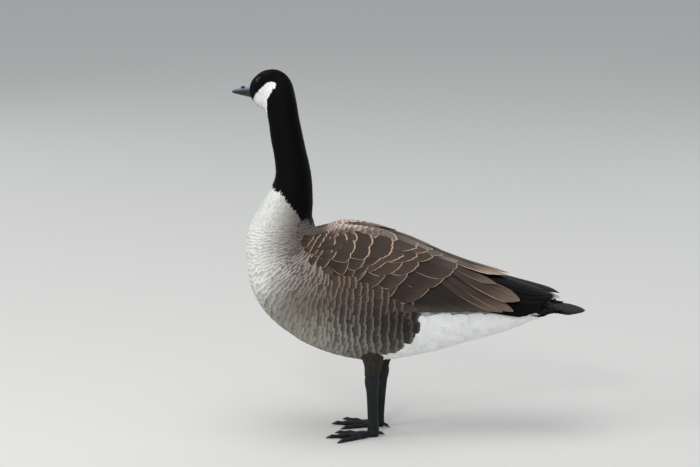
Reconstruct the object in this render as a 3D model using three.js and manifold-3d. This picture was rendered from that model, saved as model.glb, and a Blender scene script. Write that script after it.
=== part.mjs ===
// Canada goose standing at rest, life size, in millimetres with +Z up.
// The bird faces -X, its left side is -Y, and its soles lie on z = 0.
// Head, neck, torso and tail are lengths of one lofted body surface.
import * as THREE from 'three';
import { mergeVertices } from 'three/addons/utils/BufferGeometryUtils.js';
import Module from 'manifold-3d';

const wasm = await Module();
wasm.setup();

// Driving dimensions of the body: one row for each section from the bill to the tail.
// A section runs from its dorsal point (x, z) to its ventral point (x, z) in the middle plane.
const BODY_SECTIONS = [
  { at: 'bill base', dorsal: [-306, 645], ventral: [-301, 617.5], halfWidth: 10, fullness: 2.0 },
  { at: 'lores', dorsal: [-297, 658], ventral: [-296, 611], halfWidth: 14, fullness: 2.0 },
  { at: 'eyes', dorsal: [-273, 673], ventral: [-284, 604], halfWidth: 21.5, fullness: 2.0 },
  { at: 'crown', dorsal: [-243, 676], ventral: [-266, 597], halfWidth: 25.5, fullness: 2.0 },
  { at: 'back of the head', dorsal: [-219, 662], ventral: [-258, 583], halfWidth: 26, fullness: 2.0 },
  { at: 'nape', dorsal: [-207, 631], ventral: [-255, 568], halfWidth: 25.5, fullness: 2.0 },
  { at: 'upper neck', dorsal: [-200, 590], ventral: [-252, 546], halfWidth: 26, fullness: 2.0 },
  { at: 'middle neck', dorsal: [-190, 538], ventral: [-247, 518], halfWidth: 28.5, fullness: 2.0 },
  { at: 'lower neck', dorsal: [-179, 485], ventral: [-246, 480], halfWidth: 32, fullness: 2.0 },
  { at: 'neck base', dorsal: [-176, 438], ventral: [-265, 440], halfWidth: 38, fullness: 2.0 },
  { at: 'crop', dorsal: [-177, 401], ventral: [-293, 388], halfWidth: 50, fullness: 2.1 },
  { at: 'breast', dorsal: [-168, 381], ventral: [-299, 336], halfWidth: 71, fullness: 2.1 },
  { at: 'shoulders', dorsal: [-146, 386], ventral: [-286, 266], halfWidth: 92, fullness: 2.2 },
  { at: 'mantle', dorsal: [-112, 392], ventral: [-242, 208], halfWidth: 102, fullness: 2.2 },
  { at: 'middle back', dorsal: [-66, 386], ventral: [-165, 162], halfWidth: 104, fullness: 2.2 },
  { at: 'belly', dorsal: [-8, 367], ventral: [-68, 141], halfWidth: 101, fullness: 2.2 },
  { at: 'hips', dorsal: [56, 337], ventral: [32, 155], halfWidth: 92, fullness: 2.2 },
  { at: 'rump', dorsal: [118, 309], ventral: [112, 177], halfWidth: 79, fullness: 2.2 },
  { at: 'vent', dorsal: [176, 284], ventral: [178, 196], halfWidth: 66, fullness: 2.2 },
  { at: 'tail root', dorsal: [226, 263], ventral: [228, 218], halfWidth: 57, fullness: 2.3 },
  { at: 'middle of the tail', dorsal: [275, 246], ventral: [275, 230], halfWidth: 52, fullness: 2.4 },
  { at: 'tail tip', dorsal: [324, 231], ventral: [324, 228], halfWidth: 44, fullness: 2.6 },
];
const BELLY_SAG = 0.05;

// Where the body is parted, counted in sections.
const HEAD_END = 6;
const NECK_END = 10;
const TORSO_END = 18.5;
const LAST_SECTION = BODY_SECTIONS.length - 1;
const GAP = 0.35;
const BODY_COLUMNS = 28;

// The head is turned to the bird's right about an upright axis in the upper neck.
const HEAD_TURN = THREE.MathUtils.degToRad(40);
const TURN_AXIS_X = -231;
const TURN_FULL = 4.2;
const TURN_NONE = 8;

// Bill: lengths forward of the turning axis, heights above the floor.
const BILL = {
  base: 75, lean: 0.18, tip: 122.5, culmenBase: 644, culmenTip: 630, mouthBase: 629.5, mouthTip: 625,
  chinBase: 619, chinTip: 623, halfWidthBase: 10.4, halfWidthTip: 6,
};
const NOSTRIL = { forward: 91, height: 635.6, side: 7.4, length: 9, rise: 3.4, depth: 6 };
const EYE = { forward: 44, side: 13.6, height: 656, radius: 6.6 };
const LID = { side: 18.2, length: 6.6, height: 5.4, thickness: 1.4 };

// Wings: where they lie on the body, in sections along it and degrees from the back's middle line.
const WING = {
  frontTop: 12.1, frontLow: 13.1, rear: 20.45, top: 5, low: 89, tipLow: 42, taperFrom: 0.72,
  coreEnd: 0.8, thickness: 7, rearThickness: 3.4, edge: 0.9, lift: 11,
};

// Tiers of wing feathers, from the shoulder back. Roots: share of the wing's length and of its height.
// Sizes in millimetres; level is the root's height over the body, rise and tilt are slopes of the vane.
const WING_TIERS = [
  { name: 'scapulars', root: 0, from: 0.18, to: 0.8, count: 4, length: 84, width: 38, blunt: true,
    level: 4.8, rise: 0.074, tilt: 0.042, droop: 5, stagger: 0 },
  { name: 'scapulars', root: 0.12, from: 0.1, to: 0.86, count: 5, length: 92, width: 38, blunt: true,
    level: 4.3, rise: 0.066, tilt: 0.038, droop: 5, stagger: 0.002 },
  { name: 'scapulars', root: 0.215, from: 0.15, to: 0.84, count: 4, length: 98, width: 44, blunt: true,
    level: 4.0, rise: 0.06, tilt: 0.033, droop: 4, stagger: 0.006 },
  { name: 'coverts', root: 0.305, from: 0.1, to: 0.86, count: 5, length: 102, width: 38, blunt: true,
    level: 3.9, rise: 0.054, tilt: 0.038, droop: 3, stagger: 0.006 },
  { name: 'greater coverts', root: 0.395, from: 0.14, to: 0.88, count: 5, length: 110, width: 31,
    blunt: true, level: 3.9, rise: 0.05, tilt: 0.045, droop: 2, stagger: 0.006 },
  { name: 'tertials', root: 0.485, from: 0.1, to: 0.58, count: 4, length: 160, width: 25, blunt: true,
    level: 2.7, rise: 0.038, tilt: 0.062, droop: 3, stagger: -0.012 },
  { name: 'secondaries', root: 0.52, from: 0.66, to: 0.88, count: 3, length: 150, width: 20, blunt: true,
    level: 2.3, rise: 0.022, tilt: 0.1, droop: 0, stagger: 0 },
  { name: 'primaries', root: 0.61, from: 0.26, to: 0.84, count: 4, length: 114, width: 15, blunt: false,
    level: 2.2, rise: 0.012, tilt: 0.12, droop: 0, stagger: 0.022 },
];
// Outline of a vane: share of its length from the root, share of its full width.
const VANE = { thickness: 0.8, crown: 0.7, outline: [[0, 0.6], [0.5, 1], [0.84, 0.86], [1, 0.3]] };

// Tail: a fan of long feathers from a low wedge of rump and vent plumage.
const TAIL = {
  wedgeFrom: 19.3, wedgeEnd: 20.05, wedgeThin: 0.3, wedgeNarrow: 0.84, rootX: 226, rootZ: 243.5,
  tipX: 324, tipZ: 229.5, count: 6, spacing: 6, width: 16, shorten: 24, spread: 3, arch: 0.0008,
  tilt: 0.16, level: 0.6,
};

// Legs: upright tubes from the belly to the ankle, and webbed feet with flat soles.
const LEGS = {
  left: { hipSide: -54, heelSide: -44, side: -35, hip: -66, heel: -69, ankle: -66 },
  right: { hipSide: 54, heelSide: 44, side: 35, hip: -44, heel: -49, ankle: -56 },
};
const LEG_LEVELS = { hip: 196, plumeEnd: 119, hock: 104, ankle: 12 };
const TOES = [
  { name: 'inner', angle: 27, length: 68, radius: 4.6 },
  { name: 'middle', angle: 0, length: 82, radius: 5.2 },
  { name: 'outer', angle: -27, length: 76, radius: 4.6 },
];
const HIND_TOE = { angle: 162, length: 20, radius: 3.2, height: 9 };
const TOE_OUT = THREE.MathUtils.degToRad(9);
const WEB = { low: 0.8, thickness: 2, scallop: 0.24 };
const CLAW = { length: 9, radius: 3, hindLength: 6, hindRadius: 2 };

const COLOURS = {
  black: 0x111215, brown: 0x5d4a3e, white: 0xe6e2da, flank: 0x8b7f73,
  bill: 0x3a3d42, eye: 0x0a0807, leg: 0x24282b, claw: 0x15171a,
};

const along = (values) => new THREE.SplineCurve(values.map(([a, b]) => new THREE.Vector2(a, b)));
const DORSAL = along(BODY_SECTIONS.map((section) => section.dorsal));
const VENTRAL = along(BODY_SECTIONS.map((section) => section.ventral));
const GIRTH = along(BODY_SECTIONS.map((section) => [section.halfWidth, section.fullness]));
const mix = (a, b, t) => a + (b - a) * t;
const ramp = (t, from, to) => THREE.MathUtils.smoothstep(t, from, to);
const unit = (t) => THREE.MathUtils.clamp(t, 0, 1);

// Turns a point about the upright axis of the upper neck.
function turned(point, share = 1) {
  const angle = -HEAD_TURN * share;
  const dx = point.x - TURN_AXIS_X;
  const x = TURN_AXIS_X + dx * Math.cos(angle) - point.y * Math.sin(angle);
  const y = dx * Math.sin(angle) + point.y * Math.cos(angle);
  return new THREE.Vector3(x, y, point.z);
}

// Point of the body's surface: s counts sections, theta runs from the back round the left side.
function bodyPoint(s, theta) {
  const t = unit(s / LAST_SECTION);
  const top = DORSAL.getPoint(t);
  const low = VENTRAL.getPoint(t);
  const girth = GIRTH.getPoint(t);
  const c = Math.cos(theta);
  const q = Math.sin(theta);
  const reach = (Math.abs(c) ** girth.y + Math.abs(q) ** girth.y) ** (-1 / girth.y);
  const up = 0.5 + 0.5 * reach * c;
  const side = girth.x * reach * q * (1 - BELLY_SAG * c);
  const point = new THREE.Vector3(mix(low.x, top.x, up), -side, mix(low.y, top.y, up));
  return turned(point, 1 - ramp(s, TURN_FULL, TURN_NONE));
}

// Outward normal of the body's surface.
function bodyNormal(s, theta) {
  const step = 0.01;
  const back = Math.max(s - step, 0);
  const on = Math.min(s + step, LAST_SECTION);
  const alongBody = bodyPoint(on, theta).sub(bodyPoint(back, theta));
  const round = bodyPoint(s, theta + step).sub(bodyPoint(s, theta - step));
  return round.cross(alongBody).normalize();
}

const raised = (s, theta, height) => bodyPoint(s, theta).addScaledVector(bodyNormal(s, theta), height);

// Closed shell over rings of points, with a fan over each end.
function shell(rings) {
  const count = rings[0].length;
  const points = rings.flat();
  const faces = [];
  for (let i = 0; i + 1 < rings.length; i += 1) {
    for (let j = 0; j < count; j += 1) {
      const k = (j + 1) % count;
      const [a, b, c, d] = [i * count + j, i * count + k, (i + 1) * count + k, (i + 1) * count + j];
      faces.push(a, b, c, a, c, d);
    }
  }
  for (const [ring, flip] of [[0, true], [rings.length - 1, false]]) {
    const middle = rings[ring].reduce((sum, p) => sum.add(p), new THREE.Vector3());
    points.push(middle.divideScalar(count));
    for (let j = 0; j < count; j += 1) {
      const a = ring * count + j;
      const b = ring * count + (j + 1) % count;
      faces.push(points.length - 1, flip ? b : a, flip ? a : b);
    }
  }
  return meshOf(points, faces);
}

// Geometry with its faces turned outwards.
function meshOf(points, faces) {
  let volume = 0;
  for (let i = 0; i < faces.length; i += 3) {
    const [a, b, c] = [points[faces[i]], points[faces[i + 1]], points[faces[i + 2]]];
    volume += a.dot(b.clone().cross(c));
  }
  const index = volume > 0 ? faces : faces.slice().reverse();
  const geometry = new THREE.BufferGeometry();
  const positions = points.flatMap((p) => p.toArray());
  geometry.setAttribute('position', new THREE.Float32BufferAttribute(positions, 3));
  geometry.setIndex(index);
  return geometry;
}

// Solid for joining and cutting, from a closed geometry.
function solidOf(geometry) {
  const bare = geometry.clone();
  bare.deleteAttribute('normal');
  bare.deleteAttribute('uv');
  const merged = mergeVertices(bare, 1e-4);
  return new wasm.Manifold(new wasm.Mesh({
    numProp: 3,
    vertProperties: new Float32Array(merged.attributes.position.array),
    triVerts: new Uint32Array(merged.index.array),
  }));
}

// Geometry of a solid's largest closed surface.
function geometryOf(solid) {
  const pieces = solid.decompose().sort((a, b) => b.volume() - a.volume());
  const mesh = pieces[0].getMesh();
  const geometry = new THREE.BufferGeometry();
  const positions = new Float32Array(mesh.vertProperties);
  geometry.setAttribute('position', new THREE.BufferAttribute(positions, 3));
  geometry.setIndex(new THREE.BufferAttribute(new Uint32Array(mesh.triVerts), 1));
  return geometry;
}

const joined = (geometries) => geometries.map(solidOf).reduce((sum, next) => sum.add(next));

const goose = new THREE.Group();
function addNode(name, geometry, colour, roughness) {
  const material = new THREE.MeshStandardMaterial({ color: colour, roughness, metalness: 0 });
  const mesh = new THREE.Mesh(geometry, material);
  mesh.name = name;
  goose.add(mesh);
}

const round = (count) => Array.from({ length: count }, (_, j) => (j / count) * 2 * Math.PI);
const steps = (from, to, count) => Array.from({ length: count + 1 }, (_, i) => mix(from, to, i / count));

// Length of the body's surface through the sections given, moved outwards by a height.
function bodyLength(stops, columns, height = 0) {
  return shell(stops.map((s) => round(columns).map((theta) => raised(s, theta, height))));
}

// Place in the head's own frame: forward of the turning axis, to the left, and up.
const headPlace = (forward, left, up) => turned(new THREE.Vector3(TURN_AXIS_X - forward, -left, up));

// Ball in the head's frame, stretched along forward, left and up.
function headBall(forward, left, up, radii, detail) {
  const ball = new THREE.SphereGeometry(1, detail, detail / 2);
  ball.rotateX(Math.PI / 2);
  ball.scale(radii[0], radii[1], radii[2]);
  ball.rotateZ(-HEAD_TURN);
  const centre = headPlace(forward, left, up);
  return ball.translate(centre.x, centre.y, centre.z);
}

// Head with sunk eye sockets and raised lids.
function headGeometry() {
  let head = solidOf(bodyLength(steps(0, HEAD_END, 20), 24));
  for (const left of [1, -1]) {
    head = head.add(solidOf(lidRing(left)));
    const radii = Array(3).fill(EYE.radius + GAP);
    const socket = headBall(EYE.forward, left * EYE.side, EYE.height, radii, 14);
    head = head.subtract(solidOf(socket));
  }
  return geometryOf(head);
}

// Raised rim of both lids: a ring round the eye that follows the side of the head.
function lidRing(left) {
  const ring = new THREE.TorusGeometry(1, LID.thickness / LID.length, 5, 16);
  ring.rotateX(Math.PI / 2);
  ring.scale(LID.length, LID.length, LID.height);
  ring.rotateX(left * THREE.MathUtils.degToRad(14));
  ring.rotateZ(left * THREE.MathUtils.degToRad(12));
  ring.rotateZ(-HEAD_TURN);
  const centre = headPlace(EYE.forward, left * LID.side, EYE.height);
  return ring.translate(centre.x, centre.y, centre.z);
}

// Half of the bill: an arch over the mouth line, or under it, that narrows to the rounded tip.
function billHalf(upper) {
  const rows = 8;
  const columns = 10;
  const rings = [];
  for (let i = 0; i <= rows; i += 1) {
    const t = i / rows;
    const forward = mix(BILL.base + GAP + 0.4, BILL.tip, Math.sin(t * Math.PI / 2));
    const f = (forward - BILL.base) / (BILL.tip - BILL.base);
    const blunt = Math.sqrt(unit(1 - f ** 6)) * 0.92 + 0.08;
    const half = mix(BILL.halfWidthBase, BILL.halfWidthTip, f) * blunt;
    const mouth = mix(BILL.mouthBase, BILL.mouthTip, f ** 0.8);
    const crest = mix(BILL.culmenBase, BILL.culmenTip, f ** 0.9) - 1.5 * f * (1 - f);
    const edge = mix(mouth, upper ? crest : mix(BILL.chinBase, BILL.chinTip, f), blunt);
    const line = mouth + (upper ? GAP / 2 : -GAP / 2);
    const ring = [];
    for (let j = 0; j < columns; j += 1) {
      const turn = (j / columns) * 2 * Math.PI;
      const rise = Math.max(Math.sin(turn), 0) ** 0.8;
      const height = mix(line, edge, rise);
      const back = BILL.lean * (BILL.culmenBase - height) * unit(1 - f);
      ring.push(headPlace(forward - back, half * Math.cos(turn), height));
    }
    rings.push(ring);
  }
  return shell(rings);
}

function billUpper() {
  let bill = solidOf(billHalf(true));
  for (const left of [1, -1]) {
    const radii = [NOSTRIL.length / 2, NOSTRIL.depth / 2, NOSTRIL.rise / 2];
    const pit = headBall(NOSTRIL.forward, left * NOSTRIL.side, NOSTRIL.height, radii, 12);
    bill = bill.subtract(solidOf(pit));
  }
  return geometryOf(bill);
}

// Place on a wing: a runs from the shoulder to the tip, b from the back down to the wing's edge.
function wingPlace(left, a, b, height) {
  const s = mix(mix(WING.frontTop, WING.frontLow, b), WING.rear, a);
  const low = mix(WING.low, WING.tipLow, ramp(a, WING.taperFrom, 1.02));
  const theta = THREE.MathUtils.degToRad(mix(WING.top, low, b));
  const lift = GAP + WING.lift * ramp(a, 0.5, 0.85);
  const point = raised(s, theta, lift + height);
  return new THREE.Vector3(point.x, left * point.y, point.z);
}

// Plate between two grids of points, split into triangles alike on both faces.
function plate(outer, inner) {
  const rows = outer.length;
  const columns = outer[0].length;
  const points = [...outer.flat(), ...inner.flat()];
  const under = rows * columns;
  const faces = [];
  for (let i = 0; i + 1 < rows; i += 1) {
    for (let j = 0; j + 1 < columns; j += 1) {
      const a = i * columns + j;
      const [b, c, d] = [a + 1, a + columns + 1, a + columns];
      faces.push(a, b, c, a, c, d, under + a, under + c, under + b, under + a, under + d, under + c);
    }
  }
  const rim = [];
  for (let j = 0; j + 1 < columns; j += 1) {
    rim.push(j);
  }
  for (let i = 0; i + 1 < rows; i += 1) {
    rim.push(i * columns + columns - 1);
  }
  for (let j = columns - 1; j > 0; j -= 1) {
    rim.push((rows - 1) * columns + j);
  }
  for (let i = rows - 1; i > 0; i -= 1) {
    rim.push(i * columns);
  }
  rim.forEach((a, i) => {
    const b = rim[(i + 1) % rim.length];
    faces.push(b, a, under + a, b, under + a, under + b);
  });
  return meshOf(points, faces);
}

// Flesh and small coverts of the wing: a slab on the body, thick in front and thin at its edges.
function wingCore(left) {
  const outer = [];
  const inner = [];
  for (const a of steps(0, WING.coreEnd, 12)) {
    const ends = Math.sqrt(unit(5 * a)) * Math.sqrt(unit(6 * (WING.coreEnd - a)));
    const full = mix(WING.thickness, WING.rearThickness, ramp(a, 0.42, 0.7));
    const edges = steps(0, 1, 6);
    const depth = 3 + 0.6 * WING.lift * ramp(a, 0.5, 0.85);
    outer.push(edges.map((b) => {
      const crown = Math.sqrt(unit(6 * b * (1 - b))) * ends;
      return wingPlace(left, a, b, mix(WING.edge, full, unit(crown)));
    }));
    inner.push(edges.map((b) => wingPlace(left, a, b, -depth)));
  }
  return plate(outer, inner);
}

// Repeatable spread of small differences between feathers, from -1 to 1.
function differences(seed) {
  let state = seed;
  return () => {
    state = (Math.imul(state, 1664525) + 1013904223) >>> 0;
    return state / 2 ** 31 - 1;
  };
}

// One feather's vane over a surface: narrow at its root, widest past the middle, rounded at its tip.
// place(y, x, height) gives the point y along the feather, x across it, and a height over the surface.
function vane(place, { length, width, blunt, level, rise, tilt, inner: limit = width }) {
  const outer = [];
  const inner = [];
  for (const [t, share] of VANE.outline) {
    const half = (width / 2) * mix(share, share ** 2, blunt ? 0 : t);
    const row = [-Math.min(half, limit), 0, half].map((x) => {
      const middle = level + rise * length * t + tilt * x + (x === 0 ? VANE.crown : 0);
      return { x, middle };
    });
    outer.push(row.map(({ x, middle }) => place(length * t, x, middle + VANE.thickness / 2)));
    inner.push(row.map(({ x, middle }) => place(length * t, x, middle - VANE.thickness / 2)));
  }
  return plate(outer, inner);
}

// Feathers of one wing in tiers, each lying over the next one behind and below it.
function wingVanes(left) {
  const vanes = [];
  const differ = differences(17);
  for (const tier of WING_TIERS) {
    for (let i = 0; i < tier.count; i += 1) {
      const b0 = mix(tier.from, tier.to, tier.count > 1 ? i / (tier.count - 1) : 0);
      const a0 = tier.root + tier.stagger * i;
      const origin = wingPlace(left, a0, b0, 0);
      const alongScale = origin.distanceTo(wingPlace(left, a0 + 0.05, b0, 0)) / 0.05;
      const beside = b0 + (b0 > 0.5 ? -0.05 : 0.05);
      const acrossScale = origin.distanceTo(wingPlace(left, a0, beside, 0)) / 0.05;
      const turn = THREE.MathUtils.degToRad(tier.droop + 1.5 * differ());
      const place = (y, x, height) => {
        const a = a0 + (y * Math.cos(turn) - x * Math.sin(turn)) / alongScale;
        const b = b0 + (y * Math.sin(turn) + x * Math.cos(turn)) / acrossScale;
        return wingPlace(left, a, b, height);
      };
      vanes.push(vane(place, { ...tier, length: tier.length * (1 + 0.03 * differ()) }));
    }
  }
  return vanes;
}

const wing = (left) => geometryOf(joined([wingCore(left), ...wingVanes(left)]).subtract(bodySpace));

// Wedge of rump and vent plumage that narrows to the roots of the tail feathers.
function tailWedge() {
  const stops = tailStops.filter((s) => s < TAIL.wedgeFrom);
  stops.push(TAIL.wedgeFrom, mix(TAIL.wedgeFrom, TAIL.wedgeEnd, 0.5), TAIL.wedgeEnd);
  return shell(stops.map((s) => {
    const end = ramp(s, TAIL.wedgeFrom - 0.2, TAIL.wedgeEnd);
    const thin = mix(1, TAIL.wedgeThin, end);
    const narrow = mix(1, TAIL.wedgeNarrow, end);
    const middle = bodyPoint(s, 0).add(bodyPoint(s, Math.PI)).multiplyScalar(0.5);
    return round(BODY_COLUMNS).map((theta) => {
      const point = bodyPoint(s, theta);
      return new THREE.Vector3(point.x, point.y * narrow, mix(middle.z, point.z, thin));
    });
  }));
}

// Place in the tail's fan: along it from the root, across it, and over it, arched across.
function tailPlace(y, x, height) {
  const slope = Math.atan2(TAIL.tipZ - TAIL.rootZ, TAIL.tipX - TAIL.rootX);
  const z = TAIL.rootZ + y * Math.sin(slope) + height - TAIL.arch * x * x;
  return new THREE.Vector3(TAIL.rootX + y * Math.cos(slope), x, z);
}

// Long tail feathers of both sides, the middle ones uppermost.
function tailVanes() {
  const vanes = [];
  for (const side of [1, -1]) {
    for (let i = 0; i < TAIL.count; i += 1) {
      const root = (i + 0.5) * TAIL.spacing;
      const turn = THREE.MathUtils.degToRad((TAIL.spread * (i + 0.5)) / TAIL.count);
      const full = Math.hypot(TAIL.tipX - TAIL.rootX, TAIL.tipZ - TAIL.rootZ);
      const length = full - TAIL.shorten * (i / TAIL.count) ** 2;
      const place = (y, x, height) => {
        const across = root + y * Math.sin(turn) + x * Math.cos(turn);
        return tailPlace(y * Math.cos(turn) - x * Math.sin(turn), side * across, height);
      };
      const inner = root - 0.3;
      vanes.push(vane(place, { ...TAIL, length, inner, blunt: true, rise: 0 }));
    }
  }
  return vanes;
}

const tail = () => geometryOf(joined([tailWedge(), ...tailVanes()]));

// Tube with oval sections: each row is x, y, z, half length fore and aft, half width.
function ovalTube(rows, columns) {
  return shell(rows.map(([x, y, z, a, b]) => {
    const ring = [];
    for (let j = 0; j < columns; j += 1) {
      const turn = (j / columns) * 2 * Math.PI;
      ring.push(new THREE.Vector3(x + a * Math.cos(turn), y + b * Math.sin(turn), z));
    }
    return ring;
  }));
}

// Feathered thigh, from inside the belly down to the bare skin above the hock.
function thigh(leg) {
  const { hip, plumeEnd } = LEG_LEVELS;
  const rows = [
    [leg.hip - 4, leg.hipSide, hip, 34, 27],
    [leg.hip - 2, leg.hipSide, mix(plumeEnd, hip, 0.55), 22, 18],
    [leg.hip - 1, mix(leg.heelSide, leg.hipSide, 0.4), mix(plumeEnd, hip, 0.25), 15.5, 13],
    [leg.heel, leg.heelSide, plumeEnd, 12.8, 10.2],
  ];
  return ovalTube(rows, 14);
}

// Bare lower leg with the hock's swelling and a shank flattened from side to side.
function shank(leg) {
  const { plumeEnd, hock, ankle } = LEG_LEVELS;
  const place = (z) => {
    const t = unit((hock - z) / (hock - ankle));
    return [mix(leg.heel, leg.ankle, t), mix(leg.heelSide, leg.side, t), z];
  };
  return ovalTube([
    [...place(plumeEnd - GAP), 11.5, 8.6],
    [...place(hock + 6), 13, 9.2],
    [...place(hock - 4), 12.6, 8.8],
    [...place(hock - 18), 10.6, 7],
    [...place(mix(ankle, hock, 0.45)), 9.8, 6.2],
    [...place(ankle + 14), 10, 6.6],
    [...place(ankle + GAP), 10.8, 7.4],
  ], 14);
}

const groundBox = new THREE.BoxGeometry(400, 400, 60).translate(-60, 0, -30);
const overFoot = new THREE.BoxGeometry(400, 400, 60).translate(-60, 0, 30 + LEG_LEVELS.ankle);

// Place on a foot: a distance from the ankle along a direction that turns outwards from forward.
function footPlace(leg, angle, distance, height) {
  const outward = Math.sign(leg.side);
  const turn = -outward * THREE.MathUtils.degToRad(angle) + outward * TOE_OUT;
  const x = leg.ankle - distance * Math.cos(turn);
  return new THREE.Vector3(x, leg.side + distance * Math.sin(turn), height);
}

// Round bar through points, each with its own radius and an upright section.
function bar(points, radii, columns) {
  const rings = points.map((point, i) => {
    const next = points[Math.min(i + 1, points.length - 1)];
    const last = points[Math.max(i - 1, 0)];
    const up = new THREE.Vector3(0, 0, 1);
    const across = up.clone().cross(next.clone().sub(last)).normalize();
    const ring = [];
    for (let j = 0; j < columns; j += 1) {
      const turn = (j / columns) * 2 * Math.PI;
      const step = across.clone().multiplyScalar(Math.cos(turn) * radii[i]);
      ring.push(point.clone().add(step.addScaledVector(up, Math.sin(turn) * radii[i])));
    }
    return ring;
  });
  return shell(rings);
}

// Toe with its joints' swellings, from the ankle to the claw.
function toe(leg, { angle, length, radius }) {
  const points = [];
  const radii = [];
  const count = 6;
  for (let i = 0; i <= count; i += 1) {
    const t = i / count;
    const thick = radius * mix(1.15, 0.72, t) * (1 + 0.1 * Math.cos(t * 6 * Math.PI));
    points.push(footPlace(leg, angle, length * t, mix(7, thick * 0.82, ramp(t, 0, 0.35))));
    radii.push(thick);
  }
  return bar(points, radii, 8);
}

function hindToe(leg) {
  const { angle, length, radius, height } = HIND_TOE;
  const low = radius + 0.6;
  const points = [0, 0.4, 0.75, 1].map((t) => footPlace(leg, angle, length * t, mix(height, low, t)));
  return bar(points, [radius * 1.3, radius * 1.15, radius, radius * 0.8], 8);
}

// Web between the toes, with a scalloped front edge.
function web(leg) {
  const shape = new THREE.Shape();
  const heel = footPlace(leg, 180, 4, 0);
  shape.moveTo(heel.x, heel.y);
  const tips = TOES.map(({ angle, length }) => footPlace(leg, angle, length * 0.93, 0));
  shape.lineTo(tips[0].x, tips[0].y);
  for (let i = 0; i + 1 < tips.length; i += 1) {
    const middle = tips[i].clone().add(tips[i + 1]).multiplyScalar(0.5);
    middle.lerp(new THREE.Vector3(leg.ankle, leg.side, 0), WEB.scallop);
    shape.quadraticCurveTo(middle.x, middle.y, tips[i + 1].x, tips[i + 1].y);
  }
  shape.closePath();
  const options = { depth: WEB.thickness, bevelEnabled: false, curveSegments: 6 };
  return new THREE.ExtrudeGeometry(shape, options).translate(0, 0, WEB.low);
}

function foot(leg) {
  const { ankle } = LEG_LEVELS;
  const knuckle = ovalTube([
    [leg.ankle, leg.side, ankle, 10.8, 7.4],
    [leg.ankle, leg.side, ankle - 5, 11, 8.4],
    [leg.ankle, leg.side, -1, 9.6, 7.4],
  ], 12);
  const pieces = [knuckle, ...TOES.map((item) => toe(leg, item)), hindToe(leg), web(leg)];
  return geometryOf(joined(pieces).subtract(solidOf(groundBox)).subtract(solidOf(overFoot)));
}

// Claw that carries on its toe and bends down to just above the floor.
function claw(leg, angle, from, length, radius, height) {
  const points = [];
  const radii = [];
  for (const t of [0, 0.35, 0.7, 1]) {
    points.push(footPlace(leg, angle, from + length * t, mix(height, 0.9, t ** 1.5)));
    radii.push(radius * mix(1, 0.22, t ** 1.3));
  }
  return geometryOf(solidOf(bar(points, radii, 8)).subtract(solidOf(groundBox)));
}

const torsoStops = steps(NECK_END + 0.014, TORSO_END, 24);
const tailStops = steps(TORSO_END + 0.008, LAST_SECTION, 8);
const bodySpace = solidOf(bodyLength([NECK_END - 0.3, ...torsoStops, ...tailStops], BODY_COLUMNS, GAP));

addNode('head', headGeometry(), COLOURS.black, 0.8);
addNode('neck', bodyLength(steps(HEAD_END + 0.013, NECK_END, 14), 24), COLOURS.black, 0.8);
addNode('torso', bodyLength(torsoStops, BODY_COLUMNS), COLOURS.flank, 0.85);
addNode('tail', tail(), COLOURS.black, 0.6);
addNode('bill_upper', billUpper(), COLOURS.bill, 0.45);
addNode('bill_lower', geometryOf(solidOf(billHalf(false))), COLOURS.bill, 0.45);
for (const [side, left] of [['left', 1], ['right', -1]]) {
  const leg = LEGS[side];
  const ball = headBall(EYE.forward, left * EYE.side, EYE.height, Array(3).fill(EYE.radius), 14);
  addNode(`eye_${side}`, geometryOf(solidOf(ball)), COLOURS.eye, 0.1);
  addNode(`wing_${side}`, wing(left), COLOURS.brown, 0.75);
  addNode(`thigh_${side}`, geometryOf(solidOf(thigh(leg)).subtract(bodySpace)), COLOURS.brown, 0.85);
  addNode(`shank_${side}`, shank(leg), COLOURS.leg, 0.55);
  addNode(`foot_${side}`, foot(leg), COLOURS.leg, 0.55);
  TOES.forEach(({ angle, length, radius }, i) => {
    const height = radius * 0.72 * 0.82 + 0.3;
    const item = claw(leg, angle, length + GAP, CLAW.length, CLAW.radius, height);
    addNode(`claw_${side}_${i + 2}`, item, COLOURS.claw, 0.4);
  });
  const hind = claw(leg, HIND_TOE.angle, HIND_TOE.length + GAP, CLAW.hindLength, CLAW.hindRadius, 3.4);
  addNode(`claw_${side}_1`, hind, COLOURS.claw, 0.4);
}

export default goose;
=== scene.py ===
"""Looks of a standing Canada goose, life size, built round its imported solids.

The bird faces -X, its left side is -Y and its soles lie on z = 0. Shapes are worked out
in millimetres and written to the meshes in metres.
"""

import math

import bpy
import numpy as np
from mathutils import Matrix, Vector


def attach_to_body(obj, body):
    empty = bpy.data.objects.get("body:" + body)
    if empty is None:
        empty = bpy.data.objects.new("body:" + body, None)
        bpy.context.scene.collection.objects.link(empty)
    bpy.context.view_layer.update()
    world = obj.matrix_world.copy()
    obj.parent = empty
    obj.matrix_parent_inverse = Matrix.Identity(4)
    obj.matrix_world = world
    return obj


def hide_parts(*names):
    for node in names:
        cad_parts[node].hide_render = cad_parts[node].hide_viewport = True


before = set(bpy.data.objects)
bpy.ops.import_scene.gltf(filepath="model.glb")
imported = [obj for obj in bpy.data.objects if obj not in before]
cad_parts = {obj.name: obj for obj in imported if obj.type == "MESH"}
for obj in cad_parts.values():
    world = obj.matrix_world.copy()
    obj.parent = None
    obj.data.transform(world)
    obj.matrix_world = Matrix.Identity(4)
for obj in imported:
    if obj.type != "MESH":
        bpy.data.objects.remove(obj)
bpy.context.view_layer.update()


# View and light
# A camera at a walker's height looks level over the bird's left side, with the long lens
# that the even proportions of feet and head ask for. Broad soft lights hang over a pale floor.
TARGET = Vector((-0.1089, 0.0, 0.3751))
VIEW_ELEVATION = math.radians(12)
VIEW_DISTANCE = 5.6
LENS = 157.4
CLIP_END = 60

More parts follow.
